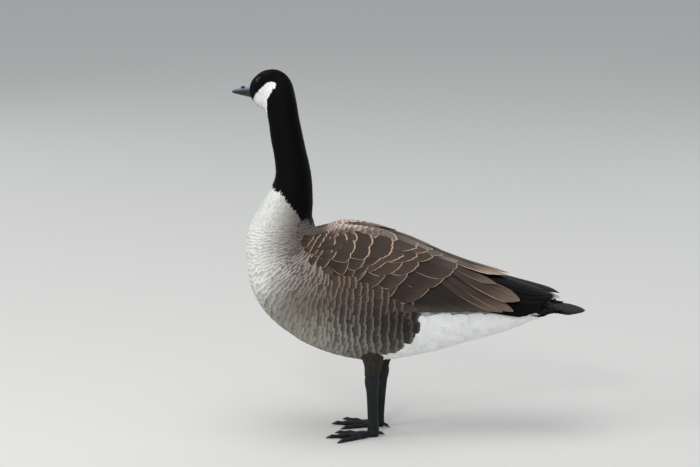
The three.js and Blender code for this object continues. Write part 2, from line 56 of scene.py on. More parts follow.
camera_data = bpy.data.cameras.new("long_lens")
camera_data.lens = LENS
camera_data.clip_end = CLIP_END
camera = bpy.data.objects.new("camera", camera_data)
away = Vector((0.0, -math.cos(VIEW_ELEVATION), math.sin(VIEW_ELEVATION)))
camera.location = TARGET + away * VIEW_DISTANCE
camera.rotation_euler = (-away).to_track_quat("-Z", "Y").to_euler()
bpy.context.scene.collection.objects.link(camera)
bpy.context.scene.camera = camera


def soft_light(name, place, width, watts, tint=(1.0, 1.0, 1.0)):
    """Square lamp of the given width in metres that faces the bird's middle."""
    data = bpy.data.lights.new(name, "AREA")
    data.size = width
    data.energy = watts
    data.color = tint
    lamp = bpy.data.objects.new(name, data)
    lamp.location = place
    lamp.rotation_euler = (TARGET - Vector(place)).to_track_quat("-Z", "Y").to_euler()
    bpy.context.scene.collection.objects.link(lamp)


soft_light("sky_lamp", (-0.4, -0.5, 3.2), 2.4, 44, (1.0, 0.99, 0.97))
soft_light("key_lamp", (-0.8, -2.9, 2.0), 0.5, 26, (1.0, 0.98, 0.95))
soft_light("front_lamp", (-2.9, -1.0, 2.0), 1.1, 24, (1.0, 0.98, 0.96))
soft_light("rim_lamp", (2.4, 2.2, 1.6), 1.6, 16, (0.93, 0.97, 1.0))
soft_light("far_lamp", (-2.0, 2.8, 1.8), 1.8, 14, (0.96, 0.98, 1.0))

world = bpy.data.worlds.new("pale_studio")
world.use_nodes = True
world.node_tree.nodes["Background"].inputs["Color"].default_value = (0.86, 0.9, 0.95, 1)
world.node_tree.nodes["Background"].inputs["Strength"].default_value = 0.56
bpy.context.scene.world = world
bpy.context.scene.view_settings.view_transform = "Standard"


# Floor
# A pale painted studio floor, seamless, with nothing on it. Its paint is a finish like all that
# follow: one shader, and what varies over a surface is written as sums and products of wires.
FLOOR_HALF = 9


class Wire:
    """A node's output that sums and products are written with; each makes a Math node."""

    def __init__(self, tree, socket):
        self.tree = tree
        self.socket = socket

    def math(self, operation, *values):
        """Math node of the operation over wires or numbers."""
        node = self.tree.nodes.new("ShaderNodeMath")
        node.operation = operation
        for socket, value in zip(node.inputs, values):
            attach(self.tree, socket, value)
        return Wire(self.tree, node.outputs[0])

    def __add__(self, other):
        return self.math("ADD", self, other)

    def __sub__(self, other):
        return self.math("SUBTRACT", self, other)

    def __rsub__(self, other):
        return self.math("SUBTRACT", other, self)

    def __mul__(self, other):
        return self.math("MULTIPLY", self, other)

    __radd__ = __add__
    __rmul__ = __mul__


def attach(tree, socket, value):
    """Links a wire to a socket, or sets a plain value on it."""
    if isinstance(value, Wire):
        tree.links.new(value.socket, socket)
    else:
        socket.default_value = value


class Finish:
    """A material with one Principled shader; roughness, sheen and the like are its own constants."""

    def __init__(self, name, constants):
        self.material = bpy.data.materials.new(name)
        self.material.use_nodes = True
        self.tree = self.material.node_tree
        self.shader = self.tree.nodes["Principled BSDF"]
        for key, value in constants.items():
            self.shader.inputs[key].default_value = value

    def node(self, kind, values=(), output=0, **settings):
        """New node: its settings first, then its sockets' values or links."""
        node = self.tree.nodes.new(kind)
        for key, value in settings.items():
            setattr(node, key, value)
        for key, value in dict(values).items():
            attach(self.tree, node.inputs[key], value)
        return Wire(self.tree, node.outputs[output])

    def attribute(self, name):
        """Colour kept on the mesh under a name."""
        return self.node("ShaderNodeAttribute", attribute_name=name, output="Color")

    def where(self):
        """Place on the object, in metres."""
        return self.node("ShaderNodeTexCoord", output="Object")

    def noise(self, place, scale, detail=2.0, rough=0.5):
        """Soft random value from 0 to 1, so many swells to a metre."""
        values = {"Vector": place, "Scale": scale, "Detail": detail, "Roughness": rough}
        return self.node("ShaderNodeTexNoise", values)

    def stretch(self, place, scale):
        """Place times a scale for each axis."""
        return self.node("ShaderNodeMapping", {"Vector": place, "Scale": scale})

    def split(self, kind, value, count):
        """Wires from the first outputs of a node that takes a colour or a vector apart."""
        outputs = self.node(kind, {0: value}).socket.node.outputs
        return [Wire(self.tree, outputs[k]) for k in range(count)]

    def product(self, first, second):
        """Two colours multiplied part by part."""
        return self.node("ShaderNodeVectorMath", {0: first, 1: second}, operation="MULTIPLY")

    def blend(self, share, first, second):
        """Colour that runs from the first to the second as the share runs from 0 to 1."""
        values = {0: share, 6: first, 7: second}
        return self.node("ShaderNodeMix", values, output=2, data_type="RGBA")

    def between(self, value, low, high):
        """Smooth step from 0 at low to 1 at high."""
        values = {0: value, 1: low, 2: high}
        return self.node("ShaderNodeMapRange", values, interpolation_type="SMOOTHSTEP")

    def set(self, socket, value):
        """Links or sets one socket of the shader."""
        attach(self.tree, self.shader.inputs[socket], value)

    def bump(self, height, depth, strength):
        """Relief of the height, as deep as the depth in metres, into the shader's normal."""
        values = {"Height": height, "Distance": depth, "Strength": strength}
        self.set("Normal", self.node("ShaderNodeBump", values))


def paint(*chart):
    """Linear red, green and blue from the 0 to 255 values that a painter's chart gives."""
    return tuple(((v / 255 + 0.055) / 1.055) ** 2.4 if v > 10 else v / 255 / 12.92 for v in chart)


def opaque(*chart):
    """The same with full opacity, as a shader's colour socket takes it."""
    return (*paint(*chart), 1)


floor_finish = Finish("pale_floor", {"Base Color": opaque(212, 211, 207), "Roughness": 0.75})
floor_mesh = bpy.data.meshes.new("pale_floor")
floor_corners = [(x * FLOOR_HALF, y * FLOOR_HALF, 0) for x, y in ((-1, -1), (1, -1), (1, 1), (-1, 1))]
floor_mesh.from_pydata(floor_corners, [], [(0, 1, 2, 3)])
floor_mesh.materials.append(floor_finish.material)
floor = bpy.data.objects.new("pale_floor", floor_mesh)
bpy.context.scene.collection.objects.link(floor)


# Skin
# The skin of head, neck, body and thighs is one soft surface over the flesh, with a mound under
# each folded wing. It carries the plumage's own markings, so that no gap between the feathers
# shows a wrong colour.

# Rows from bill to tail: dorsal x, z, ventral x, z, half width, fullness.
SECTIONS = np.array([
    (-306, 645, -301, 617.5, 10, 2.0), (-297, 658, -296, 611, 14, 2.0), (-273, 673, -284, 604, 21.5, 2.0),
    (-243, 676, -266, 597, 25.5, 2.0), (-219, 662, -258, 583, 26, 2.0), (-207, 631, -255, 568, 25.5, 2.0),
    (-200, 590, -252, 546, 26, 2.0), (-190, 538, -247, 518, 28.5, 2.0), (-179, 485, -246, 480, 32, 2.0),
    (-176, 438, -265, 440, 38, 2.0), (-177, 401, -293, 388, 50, 2.1), (-168, 381, -299, 336, 71, 2.1),
    (-146, 386, -286, 266, 92, 2.2), (-112, 392, -242, 208, 102, 2.2), (-66, 386, -165, 162, 104, 2.2),
    (-8, 367, -68, 141, 101, 2.2), (56, 337, 32, 155, 92, 2.2), (118, 309, 112, 177, 79, 2.2),
    (176, 284, 178, 196, 66, 2.2), (226, 263, 228, 218, 57, 2.3), (275, 246, 275, 230, 52, 2.4),
    (324, 231, 324, 228, 44, 2.6),
], float)
LAST_SECTION = len(SECTIONS) - 1
BELLY_SAG = 0.05
HEAD_TURN = math.radians(40)
TURN_AXIS_X = -231
TURN_FULL, TURN_NONE = 4.2, 8
WEDGE_FROM, WEDGE_END, WEDGE_THIN, WEDGE_NARROW = 19.1, 20.05, 0.3, 0.84
SKIN_END = 19.75
# Depth of the plumage: section, millimetres.
COAT_DEPTH = np.array([
    (0, 0.7), (2, 1.1), (5, 1.8), (8, 2.6), (11, 4.5), (14, 6), (19, 5), (20, 3.5), (21, 3),
])
SKIN_RINGS, SKIN_COLUMNS = 300, 112
THIGH_RINGS, THIGH_COLUMNS = 24, 32
METRES = 0.001


def smooth(value, low, high):
    """Smooth step: 0 up to low, 1 from high on, 3t^2 - 2t^3 between."""
    t = np.clip((value - low) / (high - low), 0, 1)
    return t * t * (3 - 2 * t)


def mix(first, second, share):
    """Value from the first at share 0 to the second at share 1."""
    return first + (second - first) * share


def crossed(first, second):
    """Every value of the first with every value of the second, as two grids."""
    return np.meshgrid(first, second, indexing="ij")


def circle(count):
    """Angles of so many even steps round a circle."""
    return np.arange(count) / count * 2 * math.pi


def along_rows(rows, s):
    """Uniform Catmull-Rom curve through the rows, one row for each unit of s."""
    i = np.clip(np.floor(s).astype(int), 0, len(rows) - 2)
    w = (s - i)[..., None]
    p0, p1, p2, p3 = (rows[np.clip(i + k, 0, len(rows) - 1)] for k in (-1, 0, 1, 2))
    m1, m2 = (p2 - p0) / 2, (p3 - p1) / 2
    return ((2 * p1 - 2 * p2 + m1 + m2) * w + (3 * p2 - 3 * p1 - 2 * m1 - m2)) * w * w + m1 * w + p1


def turned(point, share=1.0):
    """Point turned about the upright axis of the upper neck."""
    angle = -HEAD_TURN * share
    dx, y = point[..., 0] - TURN_AXIS_X, point[..., 1]
    x = TURN_AXIS_X + dx * np.cos(angle) - y * np.sin(angle)
    return np.stack([x, dx * np.sin(angle) + y * np.cos(angle), point[..., 2]], -1)


def body_point(s, theta, thin=True):
    """Section s is a superellipse between its dorsal and ventral point: cos^n + sin^n = 1 scaled
    by half the height and the half width. theta runs from the back round the left side."""
    s = np.clip(s, 0, LAST_SECTION)
    row = along_rows(SECTIONS, s)
    c, q, n = np.cos(theta), np.sin(theta), row[..., 5]
    reach = (np.abs(c) ** n + np.abs(q) ** n) ** (-1 / n)
    up = 0.5 + 0.5 * reach * c
    y = -row[..., 4] * reach * q * (1 - BELLY_SAG * c)
    if thin:
        end = smooth(s, WEDGE_FROM, WEDGE_END)
        up = 0.5 + (up - 0.5) * mix(1, WEDGE_THIN, end)
        y = y * mix(1, WEDGE_NARROW, end)
    x, z = mix(row[..., 2], row[..., 0], up), mix(row[..., 3], row[..., 1], up)
    return turned(np.stack([x, y, z], -1), 1 - smooth(s, TURN_FULL, TURN_NONE))


def with_normal(surface, u, v):
    """Points of a surface and its outward unit normals, from small steps in u and v."""
    step = 1e-3
    across = surface(u, v + step) - surface(u, v - step)
    normal = np.cross(across, surface(u + step, v) - surface(u - step, v))
    return surface(u, v), normal / np.maximum(np.linalg.norm(normal, axis=-1, keepdims=True), 1e-12)


WING_FRONT_TOP, WING_FRONT_LOW, WING_REAR = 12.1, 13.1, 20.45
WING_TOP, WING_LOW, WING_TIP_LOW = 5.0, 89.0, 42.0
WING_THICKNESS = 6.0


def half_turn(theta):
    """Angle from the back's middle line, the same on both sides."""
    return np.abs((theta + math.pi) % (2 * math.pi) - math.pi)


def wing_shares(s, theta):
    """Shares a from a folded wing's slanting front to its rear, and b from its upper to its lower
    edge, of a place on the body."""
    b = (np.degrees(half_turn(theta)) - WING_TOP) / (WING_LOW - WING_TOP)
    front = mix(WING_FRONT_TOP, WING_FRONT_LOW, b)
    return (s - front) / (WING_REAR - front), b


def wing_mound(s, theta):
    """Height of the folded wing's flesh over the flank: a slab with soft edges that ends behind
    the flank feathers, between a fifth and half of the wing's length."""
    a, b = wing_shares(s, theta)
    ends = smooth(a, -0.08, 0.08) * (1 - smooth(a, 0.2, 0.45))
    return WING_THICKNESS * ends * smooth(b, -0.02, 0.12) * (1 - smooth(b, 0.93, 1.16))


def coat_depth(s):
    """Depth of the plumage at a section, straight between the table's rows."""
    return np.interp(s, *COAT_DEPTH.T)


def skin_surface(s, theta):
    """The body under its coat: the body's surface moved in by the coat's depth and out by the wing."""
    point, normal = with_normal(body_point, s, theta)
    return point + normal * (wing_mound(s, theta) - coat_depth(s))[..., None]


BLACK = paint(10, 10, 12)
CHEEK_WHITE = paint(240, 242, 240)
BREAST_WHITE = paint(226, 227, 222)
BREAST_SIDE = paint(96, 87, 80)
FLANK_FRONT = paint(112, 103, 95)
FLANK_MIDDLE = paint(80, 73, 65)
FLANK_REAR = paint(50, 43, 38)
FLANK_TOP_BROWN = paint(92, 72, 58)
BELLY_GREY = paint(150, 147, 138)
VENT_WHITE = paint(243, 245, 245)
MANTLE_BROWN = paint(92, 76, 66)
BACK_PALE = paint(200, 180, 168)
RUMP_BLACK = paint(18, 16, 17)
THIGH_BROWN = paint(40, 35, 29)

CHEEK_TURNS = np.radians([46, 50, 56, 62, 75, 96, 120, 140, 180])
CHEEK_FRONT = np.array([3.6, 3.25, 3.0, 2.84, 2.6, 2.15, 1.5, 0.9, 0.75])
CHEEK_REAR = np.array([3.47, 3.57, 3.6, 3.58, 3.5, 3.37, 3.62, 4.02, 4.12])
COLLAR_X = np.array([-262, -249, -229, -206, -198, -183, -172])
COLLAR_Z = np.array([479, 473, 459, 433, 410, 391, 387])
FLANK_END_TURNS = np.radians([60, 88, 99, 108, 111, 115, 126, 132, 140, 152, 180])
FLANK_END = np.array([15.7, 15.7, 15.68, 15.8, 15.64, 15.78, 15.6, 15.45, 15.25, 15.0, 14.9])
RUMP_FROM = 16.4
UPPERTAIL = (18.7, 19.3)


def tinted(share, first, second):
    """Colour from the first at share 0 to the second at share 1, for each place."""
    return np.asarray(first) + (np.asarray(second) - np.asarray(first)) * share[..., None]


def markings(s, theta, point, ragged=0.0):
    """Plumage colour by place: white chinstrap on a black head and neck, pale breast that greys
    round to the side, brown flank that darkens to the rear, grey belly, white vent, black rump."""
    side = half_turn(theta)
    s = s + ragged * 0.05
    x, z = point[..., 0], point[..., 2] + ragged * 5
    front_share = smooth(side, mix(0.2, 0.8, smooth(s, 9.6, 10.8)), 2.5)
    breast = tinted(front_share ** 1.75, BREAST_SIDE, BREAST_WHITE)
    flank = tinted(smooth(s, 12.4, 14.4), FLANK_FRONT, FLANK_MIDDLE)
    flank = tinted(smooth(s, 14.2, 15.5), flank, FLANK_REAR)
    flank = tinted(0.6 * smooth(s, 12.6, 13.8) * (1 - smooth(side, 1.35, 1.75)), flank, FLANK_TOP_BROWN)
    flank = tinted(smooth(side, 1.75, 2.6) * (0.9 - 0.5 * smooth(s, 13.6, 15.2)), flank, BELLY_GREY)
    colour = tinted(smooth(s, 11.4, 13.0), breast, flank)
    colour = tinted(smooth(s, 10.4, 11.8) * (1 - smooth(side, 0.6, 1.0)), colour, MANTLE_BROWN)
    pale_back = smooth(s, 11.4, 12.6) * (1 - smooth(s, 13.4, 14.6)) * (1 - smooth(side, 0.22, 0.46))
    colour = tinted(0.8 * pale_back, colour, BACK_PALE)
    flank_end = np.interp(side, FLANK_END_TURNS, FLANK_END)
    behind = (s > flank_end) & (side > 1.45)
    colour = np.where(behind[..., None], VENT_WHITE, colour)
    rump = (s > RUMP_FROM) & (side < np.interp(s, [17.8, 18.4, 19.4, 19.6], [1.46, 1.62, 1.8, 4]))
    colour = np.where(rump[..., None], RUMP_BLACK, colour)
    uppertail = (s > UPPERTAIL[0]) & (s < UPPERTAIL[1]) & (side < 0.3)
    colour = np.where(uppertail[..., None], VENT_WHITE, colour)
    collar = (z > np.interp(x, COLLAR_X, COLLAR_Z)) & (s < 11)
    colour = np.where(collar[..., None], BLACK, colour)
    cheek = (side > CHEEK_TURNS[0]) & (s > np.interp(side, CHEEK_TURNS, CHEEK_FRONT))
    cheek = cheek & (s < np.interp(side, CHEEK_TURNS, CHEEK_REAR))
    return np.where(cheek[..., None], CHEEK_WHITE, colour)


def closed_tube(rings):
    """Quads over a grid of rings, with a fan of triangles to a middle point at each end."""
    rows, columns = rings.shape[:2]
    points = np.concatenate([rings.reshape(-1, 3), [rings[0].mean(0), rings[-1].mean(0)]])
    i, j = crossed(np.arange(rows - 1), np.arange(columns))
    k = (j + 1) % columns
    quads = np.stack([i * columns + j, i * columns + k, (i + 1) * columns + k, (i + 1) * columns + j], -1)
    j, k = np.arange(columns), (np.arange(columns) + 1) % columns
    ends, base = np.full((2, columns), rows * columns) + [[0], [1]], (rows - 1) * columns
    caps = [np.stack([ends[0], k, j], -1), np.stack([ends[1], base + j, base + k], -1)]
    return points, quads.reshape(-1, 4), np.concatenate(caps)


def outward(points, quads, triangles):
    """The same faces, all turned over if the volume they enclose is negative."""
    fan = np.concatenate([quads[:, [0, 1, 2]], quads[:, [0, 2, 3]], triangles])
    a, b, c = points[fan[:, 0]], points[fan[:, 1]], points[fan[:, 2]]
    if np.einsum("ij,ij->", a - points.mean(0), np.cross(b - a, c - a)) < 0:
        return quads[:, ::-1], triangles[:, ::-1]
    return quads, triangles


def write_mesh(name, points, quads, triangles, finish):
    """New object at the origin from whole arrays of points in millimetres and of faces."""
    mesh = bpy.data.meshes.new(name)
    mesh.vertices.add(len(points))
    mesh.vertices.foreach_set("co", (points * METRES).astype(np.float32).ravel())
    corners = np.concatenate([quads.ravel(), triangles.ravel()]).astype(np.int32)
    sizes = np.concatenate([np.full(len(quads), 4), np.full(len(triangles), 3)]).astype(np.int32)
    mesh.loops.add(len(corners))
    mesh.loops.foreach_set("vertex_index", corners)
    mesh.polygons.add(len(sizes))
    mesh.polygons.foreach_set("loop_start", np.concatenate([[0], np.cumsum(sizes)[:-1]]).astype(np.int32))
    mesh.polygons.foreach_set("loop_total", sizes)
    mesh.polygons.foreach_set("use_smooth", np.ones(len(sizes), bool))
    mesh.update(calc_edges=True)
    mesh.materials.append(finish.material)
    piece = bpy.data.objects.new(name, mesh)
    bpy.context.scene.collection.objects.link(piece)
    return piece


def tube_piece(name, tubes, finish):
    """One mesh of closed tubes, each with its faces turned outward."""
    points, quads, triangles = [], [], []
    start = 0
    for rings in tubes:
        more, more_quads, more_triangles = closed_tube(rings)
        more_quads, more_triangles = outward(more, more_quads, more_triangles)
        points.append(more)
        quads.append(more_quads + start)
        triangles.append(more_triangles + start)
        start += len(more)
    return write_mesh(name, *(np.concatenate(part) for part in (points, quads, triangles)), finish)


def write_colour(piece, name, values):
    """Colour attribute of a piece, one value for each point."""
    rgba = np.concatenate([values, np.ones((len(values), 1))], -1)
    layer = piece.data.attributes.new(name, "FLOAT_COLOR", "POINT")
    layer.data.foreach_set("color", rgba.astype(np.float32).ravel())


# Rows of a thigh from the belly to the shank: x, y, z, half length fore and aft, half width.
THIGH_ROWS = {
    "left": np.array([(-70, -54, 196, 34, 27), (-68, -54, 161, 22, 18), (-67, -50, 138, 15.5, 13),
                      (-69, -44, 119, 12.8, 10.2)], float),
    "right": np.array([(-48, 54, 196, 34, 27), (-46, 54, 161, 22, 18), (-45, 50, 138, 15.5, 13),
                       (-49, 44, 119, 12.8, 10.2)], float),
}
THIGH_LAST = 3
THIGH_COAT, THIGH_DROP = 2.0, 4


def thigh_surface(side):
    """Oval tube through a thigh's rows, moved in by its short coat and drawn straight on below."""
    def surface(u, v):
        row = along_rows(THIGH_ROWS[side], np.clip(u, 0, THIGH_LAST))
        x = row[..., 0] + (row[..., 3] - THIGH_COAT) * np.cos(v)
        y = row[..., 1] - (row[..., 4] - THIGH_COAT) * np.sin(v)
        return np.stack([x, y, row[..., 2] - THIGH_DROP * np.maximum(u - THIGH_LAST, 0)], -1)
    return surface


s, theta = crossed(np.linspace(0, SKIN_END, SKIN_RINGS), circle(SKIN_COLUMNS))
rings = skin_surface(s, theta)
colours = markings(s, theta, rings).reshape(-1, 3)
thigh_net = crossed(np.linspace(0, THIGH_LAST, THIGH_RINGS), circle(THIGH_COLUMNS))
thighs = [thigh_surface(side)(*thigh_net) for side in THIGH_ROWS]
thigh_points = sum(tube[..., 0].size + 2 for tube in thighs)

skin_finish = Finish("downy_skin", {"Roughness": 0.9, "Specular IOR Level": 0.04})
skin_finish.set("Base Color", skin_finish.attribute("ground"))
skin = tube_piece("skin", [rings, *thighs], skin_finish)
thigh_colours = np.tile(THIGH_BROWN, (thigh_points, 1))
write_colour(skin, "ground", np.concatenate([colours, colours[[0, -1]], thigh_colours]))
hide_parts("head", "neck", "torso", "thigh_left", "thigh_right")
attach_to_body(skin, "root")


# Head and neck plumage
# Short dense feathers like dark velvet, laid back from the bill and down the neck, white on
# the chinstrap. Each is one thin vane that rises from the skin over the roots behind it.
VANE_CURVE = 2.4
PATCH = 0.003
SHEET_MARGIN = 0.01
AREA_STEPS, CANDIDATES = 60, 5
NO_TRIANGLES = np.empty((0, 3), int)
QUILL_DARK = (0.012, 0.009, 0.008, 1)
FRAY_SCALE, STREAK_STRETCH, BARB_STRETCH = 420.0, (5.0, 38.0, 1.0), (9.0, 34.0, 1.0)
BARB_DEPTH, BARB_STRENGTH = 0.00025, 0.35
EYE_FORWARD, EYE_SIDE, EYE_HEIGHT, EYE_RADIUS = 44, 13.6, 656, 6.6
EYE_CLEARANCE, TIP_CLEARANCE, SHORTEST_FEATHER = 7.7, 5.4, 2.3
BILL_CLEARANCE = 0.12
VELVET_ROOT, VELVET_SINK = 0.08, 0.1
SHORT_VANE = {
    "rows": np.array([0, 0.5, 1.0]), "columns": 3, "bend": 0.3, "crown": 0.12, "thickness": 0.16,
    "outline": [(0, 0.55), (0.5, 1.0), (1, 0.72)],
}


def write_uv(piece, name, values):
    """UV map of a piece from one pair of values for each point."""
    corners = np.empty(len(piece.data.loops), np.int32)
    piece.data.loops.foreach_get("vertex_index", corners)
    layer = piece.data.uv_layers.new(name=name)
    layer.data.foreach_set("uv", values[corners].astype(np.float32).ravel())


def axes(surface, u, v):
    """Unit axes of the surface at (u, v), one along u and one square to it, then the lengths of its
    slopes: along u, the share of v's slope that runs along u, and along v square to u."""
    step = 2e-3
    slope_u = (surface(u + step, v) - surface(u - step, v)) / (2 * step)
    slope_v = (surface(u, v + step) - surface(u, v - step)) / (2 * step)
    scale_u = np.linalg.norm(slope_u, axis=-1)
    forward = slope_u / scale_u[:, None]
    skew = (slope_v * forward).sum(-1)
    square = slope_v - forward * skew[:, None]
    scale_v = np.linalg.norm(square, axis=-1)
    return forward, square / scale_v[:, None], scale_u, skew, scale_v


def vanes(surface, roots, turn, length, width, level, rise, shape, slant=0.0):
    """Points of many feathers, as an array of feather, face, row, column and coordinate.
    t runs over a feather's rows and x over its columns. A point lies y = length t (1 - bend |x|^2.4 t)
    + slant t^2 x half(t) along the feather and x half(t) across it, and is level + rise y + tilt x +
    crown (1 - x^2) over the surface. Its place on the surface follows from the surface's scales at
    the root, turned by the turn. The two faces part in the middle by the thickness and meet along
    the rim."""
    t, x = crossed(shape["rows"], np.linspace(-1, 1, shape["columns"]))
    half = np.interp(t, *np.transpose(shape["outline"]))
    u0, v0 = roots[:, 0], roots[:, 1]

    def each(value):
        return np.broadcast_to(np.asarray(value, float), u0.shape)[:, None, None]

    scale_u, skew, scale_v = (each(value) for value in axes(surface, u0, v0)[2:])
    random = np.random.default_rng(len(u0))
    ragged = shape.get("ragged", 0)
    nick = 1 + ragged * random.normal(0, 1, (len(u0), 1, len(x[0]))) * t ** 3
    y = each(length) * t * (1 - shape["bend"] * np.abs(x) ** VANE_CURVE * t) * nick
    x_mm = each(width) / 2 * half * x * (1 + ragged * random.normal(0, 1, (len(u0), len(x), 1)))
    y = y + each(slant) * x_mm * t * t
    cos, sin = np.cos(each(turn)), np.sin(each(turn))
    ahead, beside = y * cos - x_mm * sin, y * sin + x_mm * cos
    v = each(v0) + beside / scale_v
    u = each(u0) + (ahead - skew * beside / scale_v) / scale_u
    point, normal = with_normal(surface, u, v)
    crown = each(shape["crown"]) * (1 - x * x) * np.sqrt(np.clip(half, 0, 1))
    height = each(level) + each(rise) * y + each(shape.get("tilt", 0)) * x_mm + crown
    body = shape["thickness"] / 2 * (1 - x ** 4) * np.clip(12 * t * (1 - t), 0, 1)
    faces = [point + normal * (height + part)[..., None] for part in (body, -body)]
    return {"points": np.stack(faces, 1), "t": t, "x": x, "mirrored": False}


def feather_piece(name, groups, finish):
    """One mesh of all the feathers in the groups. Each group holds vanes, its colours, the share of
    pale edge at the tip and the sides with the strength of the shaft line and of the painted shade,
    and the place of its roots on an unwrap of the skin, where the two faces of a feather lie side by
    side on one small patch."""
    points, quads, vane_uv, bake_uv = [], [], [], []
    colours = {"ground": [], "fringe": [], "edge": []}
    start = 0
    for group in groups:
        made = group["vanes"]
        count, _, rows, columns, _ = made["points"].shape
        t, x = made["t"], made["x"]
        each = rows * columns
        i, j = crossed(np.arange(rows - 1), np.arange(columns - 1))
        a = (i * columns + j).ravel()
        face = np.stack([a, a + columns, a + columns + 1, a + 1], -1)
        if not made["mirrored"]:
            face = face[:, ::-1]
        both = np.concatenate([face, face[:, ::-1] + each])
        quads.append((start + np.arange(count)[:, None, None] * 2 * each + both).reshape(-1, 4))
        points.append(made["points"].reshape(-1, 3))
        start += count * 2 * each
        place = np.stack([x * 0.5 + 0.5, t], -1)
        vane_uv.append(np.broadcast_to(place, (count, 2, rows, columns, 2)).reshape(-1, 2))
        patch = np.stack([np.stack([x + move, 2 * t - 1], -1) for move in (-1, 1)]) * PATCH / 4
        bake_uv.append((group["unwrap"][:, None, None, None] + patch).reshape(-1, 2))
        for key, store in colours.items():
            value = np.broadcast_to(np.asarray(group[key], float), (count, 3))
            store.append(np.repeat(value, 2 * each, 0))
    piece = write_mesh(name, np.concatenate(points), np.concatenate(quads), NO_TRIANGLES, finish)
    write_uv(piece, "vane", np.concatenate(vane_uv))
    write_uv(piece, "OFBake", np.concatenate(bake_uv))
    for key, store in colours.items():
        write_colour(piece, key, np.concatenate(store))
    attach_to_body(piece, "root")
    return piece


def unwrapped(u, v, u_range, v_range):
    """Roots' places on a flat sheet of the skin: u and v scaled to fill the sheet to its margins."""
    flat = [(value - low) / (high - low) for value, (low, high) in ((u, u_range), (v, v_range))]
    return SHEET_MARGIN + (1 - 2 * SHEET_MARGIN) * np.clip(np.stack(flat, -1), 0, 1)


def scatter(surface, u_range, v_range, spacing, seed):
    """Even random roots: many candidates spread by area, then one for each cube of the spacing."""
    random = np.random.default_rng(seed)
    net = surface(*crossed(np.linspace(*u_range, AREA_STEPS), np.linspace(*v_range, AREA_STEPS)))
    corner = net[:-1, :-1]
    area = np.linalg.norm(np.cross(net[1:, :-1] - corner, net[:-1, 1:] - corner), axis=-1)
    count = int(CANDIDATES * area.sum() / spacing ** 2)
    cell = random.choice(area.size, count, p=area.ravel() / area.sum())
    i, j = np.divmod(cell, area.shape[1])
    u = mix(*u_range, (i + random.random(count)) / area.shape[0])
    v = mix(*v_range, (j + random.random(count)) / area.shape[1])
    key = np.floor(surface(u, v) / spacing).astype(int)
    first = np.sort(np.unique(key, axis=0, return_index=True)[1])
    return np.stack([u[first], v[first]], -1)


def feather_finish(name, roughness, gloss):
    """Vane colour: its ground, paler on the fringe at its tip and sides, a darker line down the shaft,
    and soft streaks that slant from the shaft as barbs do. Painted shade darkens a long feather
    towards its root and along its inner side, where the feathers laid over it shade it. The third
    value of its edge colour sets how much, and it also sets the shaft line."""
    finish = Finish(name, {"Roughness": roughness, "Specular IOR Level": gloss})
    ground, fringe = finish.attribute("ground"), finish.attribute("fringe")
    tip_width, side_width, quill_and_shade = finish.split("ShaderNodeSeparateColor", finish.attribute("edge"), 3)
    uv = finish.node("ShaderNodeUVMap", uv_map="vane")
    left, t = finish.split("ShaderNodeSeparateXYZ", uv, 2)
    across = (left - 0.5) * 2
    side = across.math("ABSOLUTE", across)
    fray = finish.noise(finish.where(), FRAY_SCALE) - 0.5
    near_tip = finish.between(t + fray * tip_width * 0.8, 1 - tip_width * 1.15, 1 - tip_width * 0.75)
    near_side = finish.between(side + fray * side_width, 1 - side_width * 1.2, 1 - side_width * 0.7)
    near_side = near_side * finish.between(t, 0.35, 0.6)
    pale = near_tip.math("MAXIMUM", near_tip, near_side)
    streak = finish.noise(finish.stretch(uv, STREAK_STRETCH), 1.0, 3.0, 0.6)
    line = (1 - finish.between(side, 0.03, 0.1)) * quill_and_shade * finish.between(1 - t, 0.03, 0.25)
    # Painted shade: darker towards the root and along the inner side, where the feathers laid over this one
    # shade it.
    shaded_root_end, shaded_side = 1 - finish.between(t, 0.55, 0.96), 1 - finish.between(across, -0.95, -0.2)
    shade = (0.72 + streak * 0.5) * (1 - quill_and_shade * (1.1 * shaded_root_end + 0.6 * shaded_side))
    dark = finish.product(ground, finish.node("ShaderNodeCombineXYZ", {0: shade, 1: shade, 2: shade}))
    dark = finish.blend(line * 0.75, dark, QUILL_DARK)
    finish.set("Base Color", finish.blend(pale, dark, fringe))
    waves = {"Vector": finish.stretch(uv, BARB_STRETCH), "Scale": 1.0, "Distortion": 1.5}
    barbs = finish.node("ShaderNodeTexWave", waves, output=1)
    finish.bump(barbs * 0.6 + streak, BARB_DEPTH, BARB_STRENGTH)
    return finish


plumage_finish = feather_finish("plumage", 0.65, 0.2)
velvet_finish = feather_finish("black_velvet", 0.5, 0.04)


def head_place(forward, left, up):
    """Place in the head's own frame: forward of the turning axis, to the left, and up."""
    x, y = TURN_AXIS_X - np.asarray(forward, float), -np.asarray(left, float)
    return turned(np.stack(np.broadcast_arrays(x, y, up), -1))


def eye_centre(side):
    """Middle of an eyeball; side is 1 on the bird's left and -1 on its right."""
    return head_place(EYE_FORWARD, side * EYE_SIDE, EYE_HEIGHT)


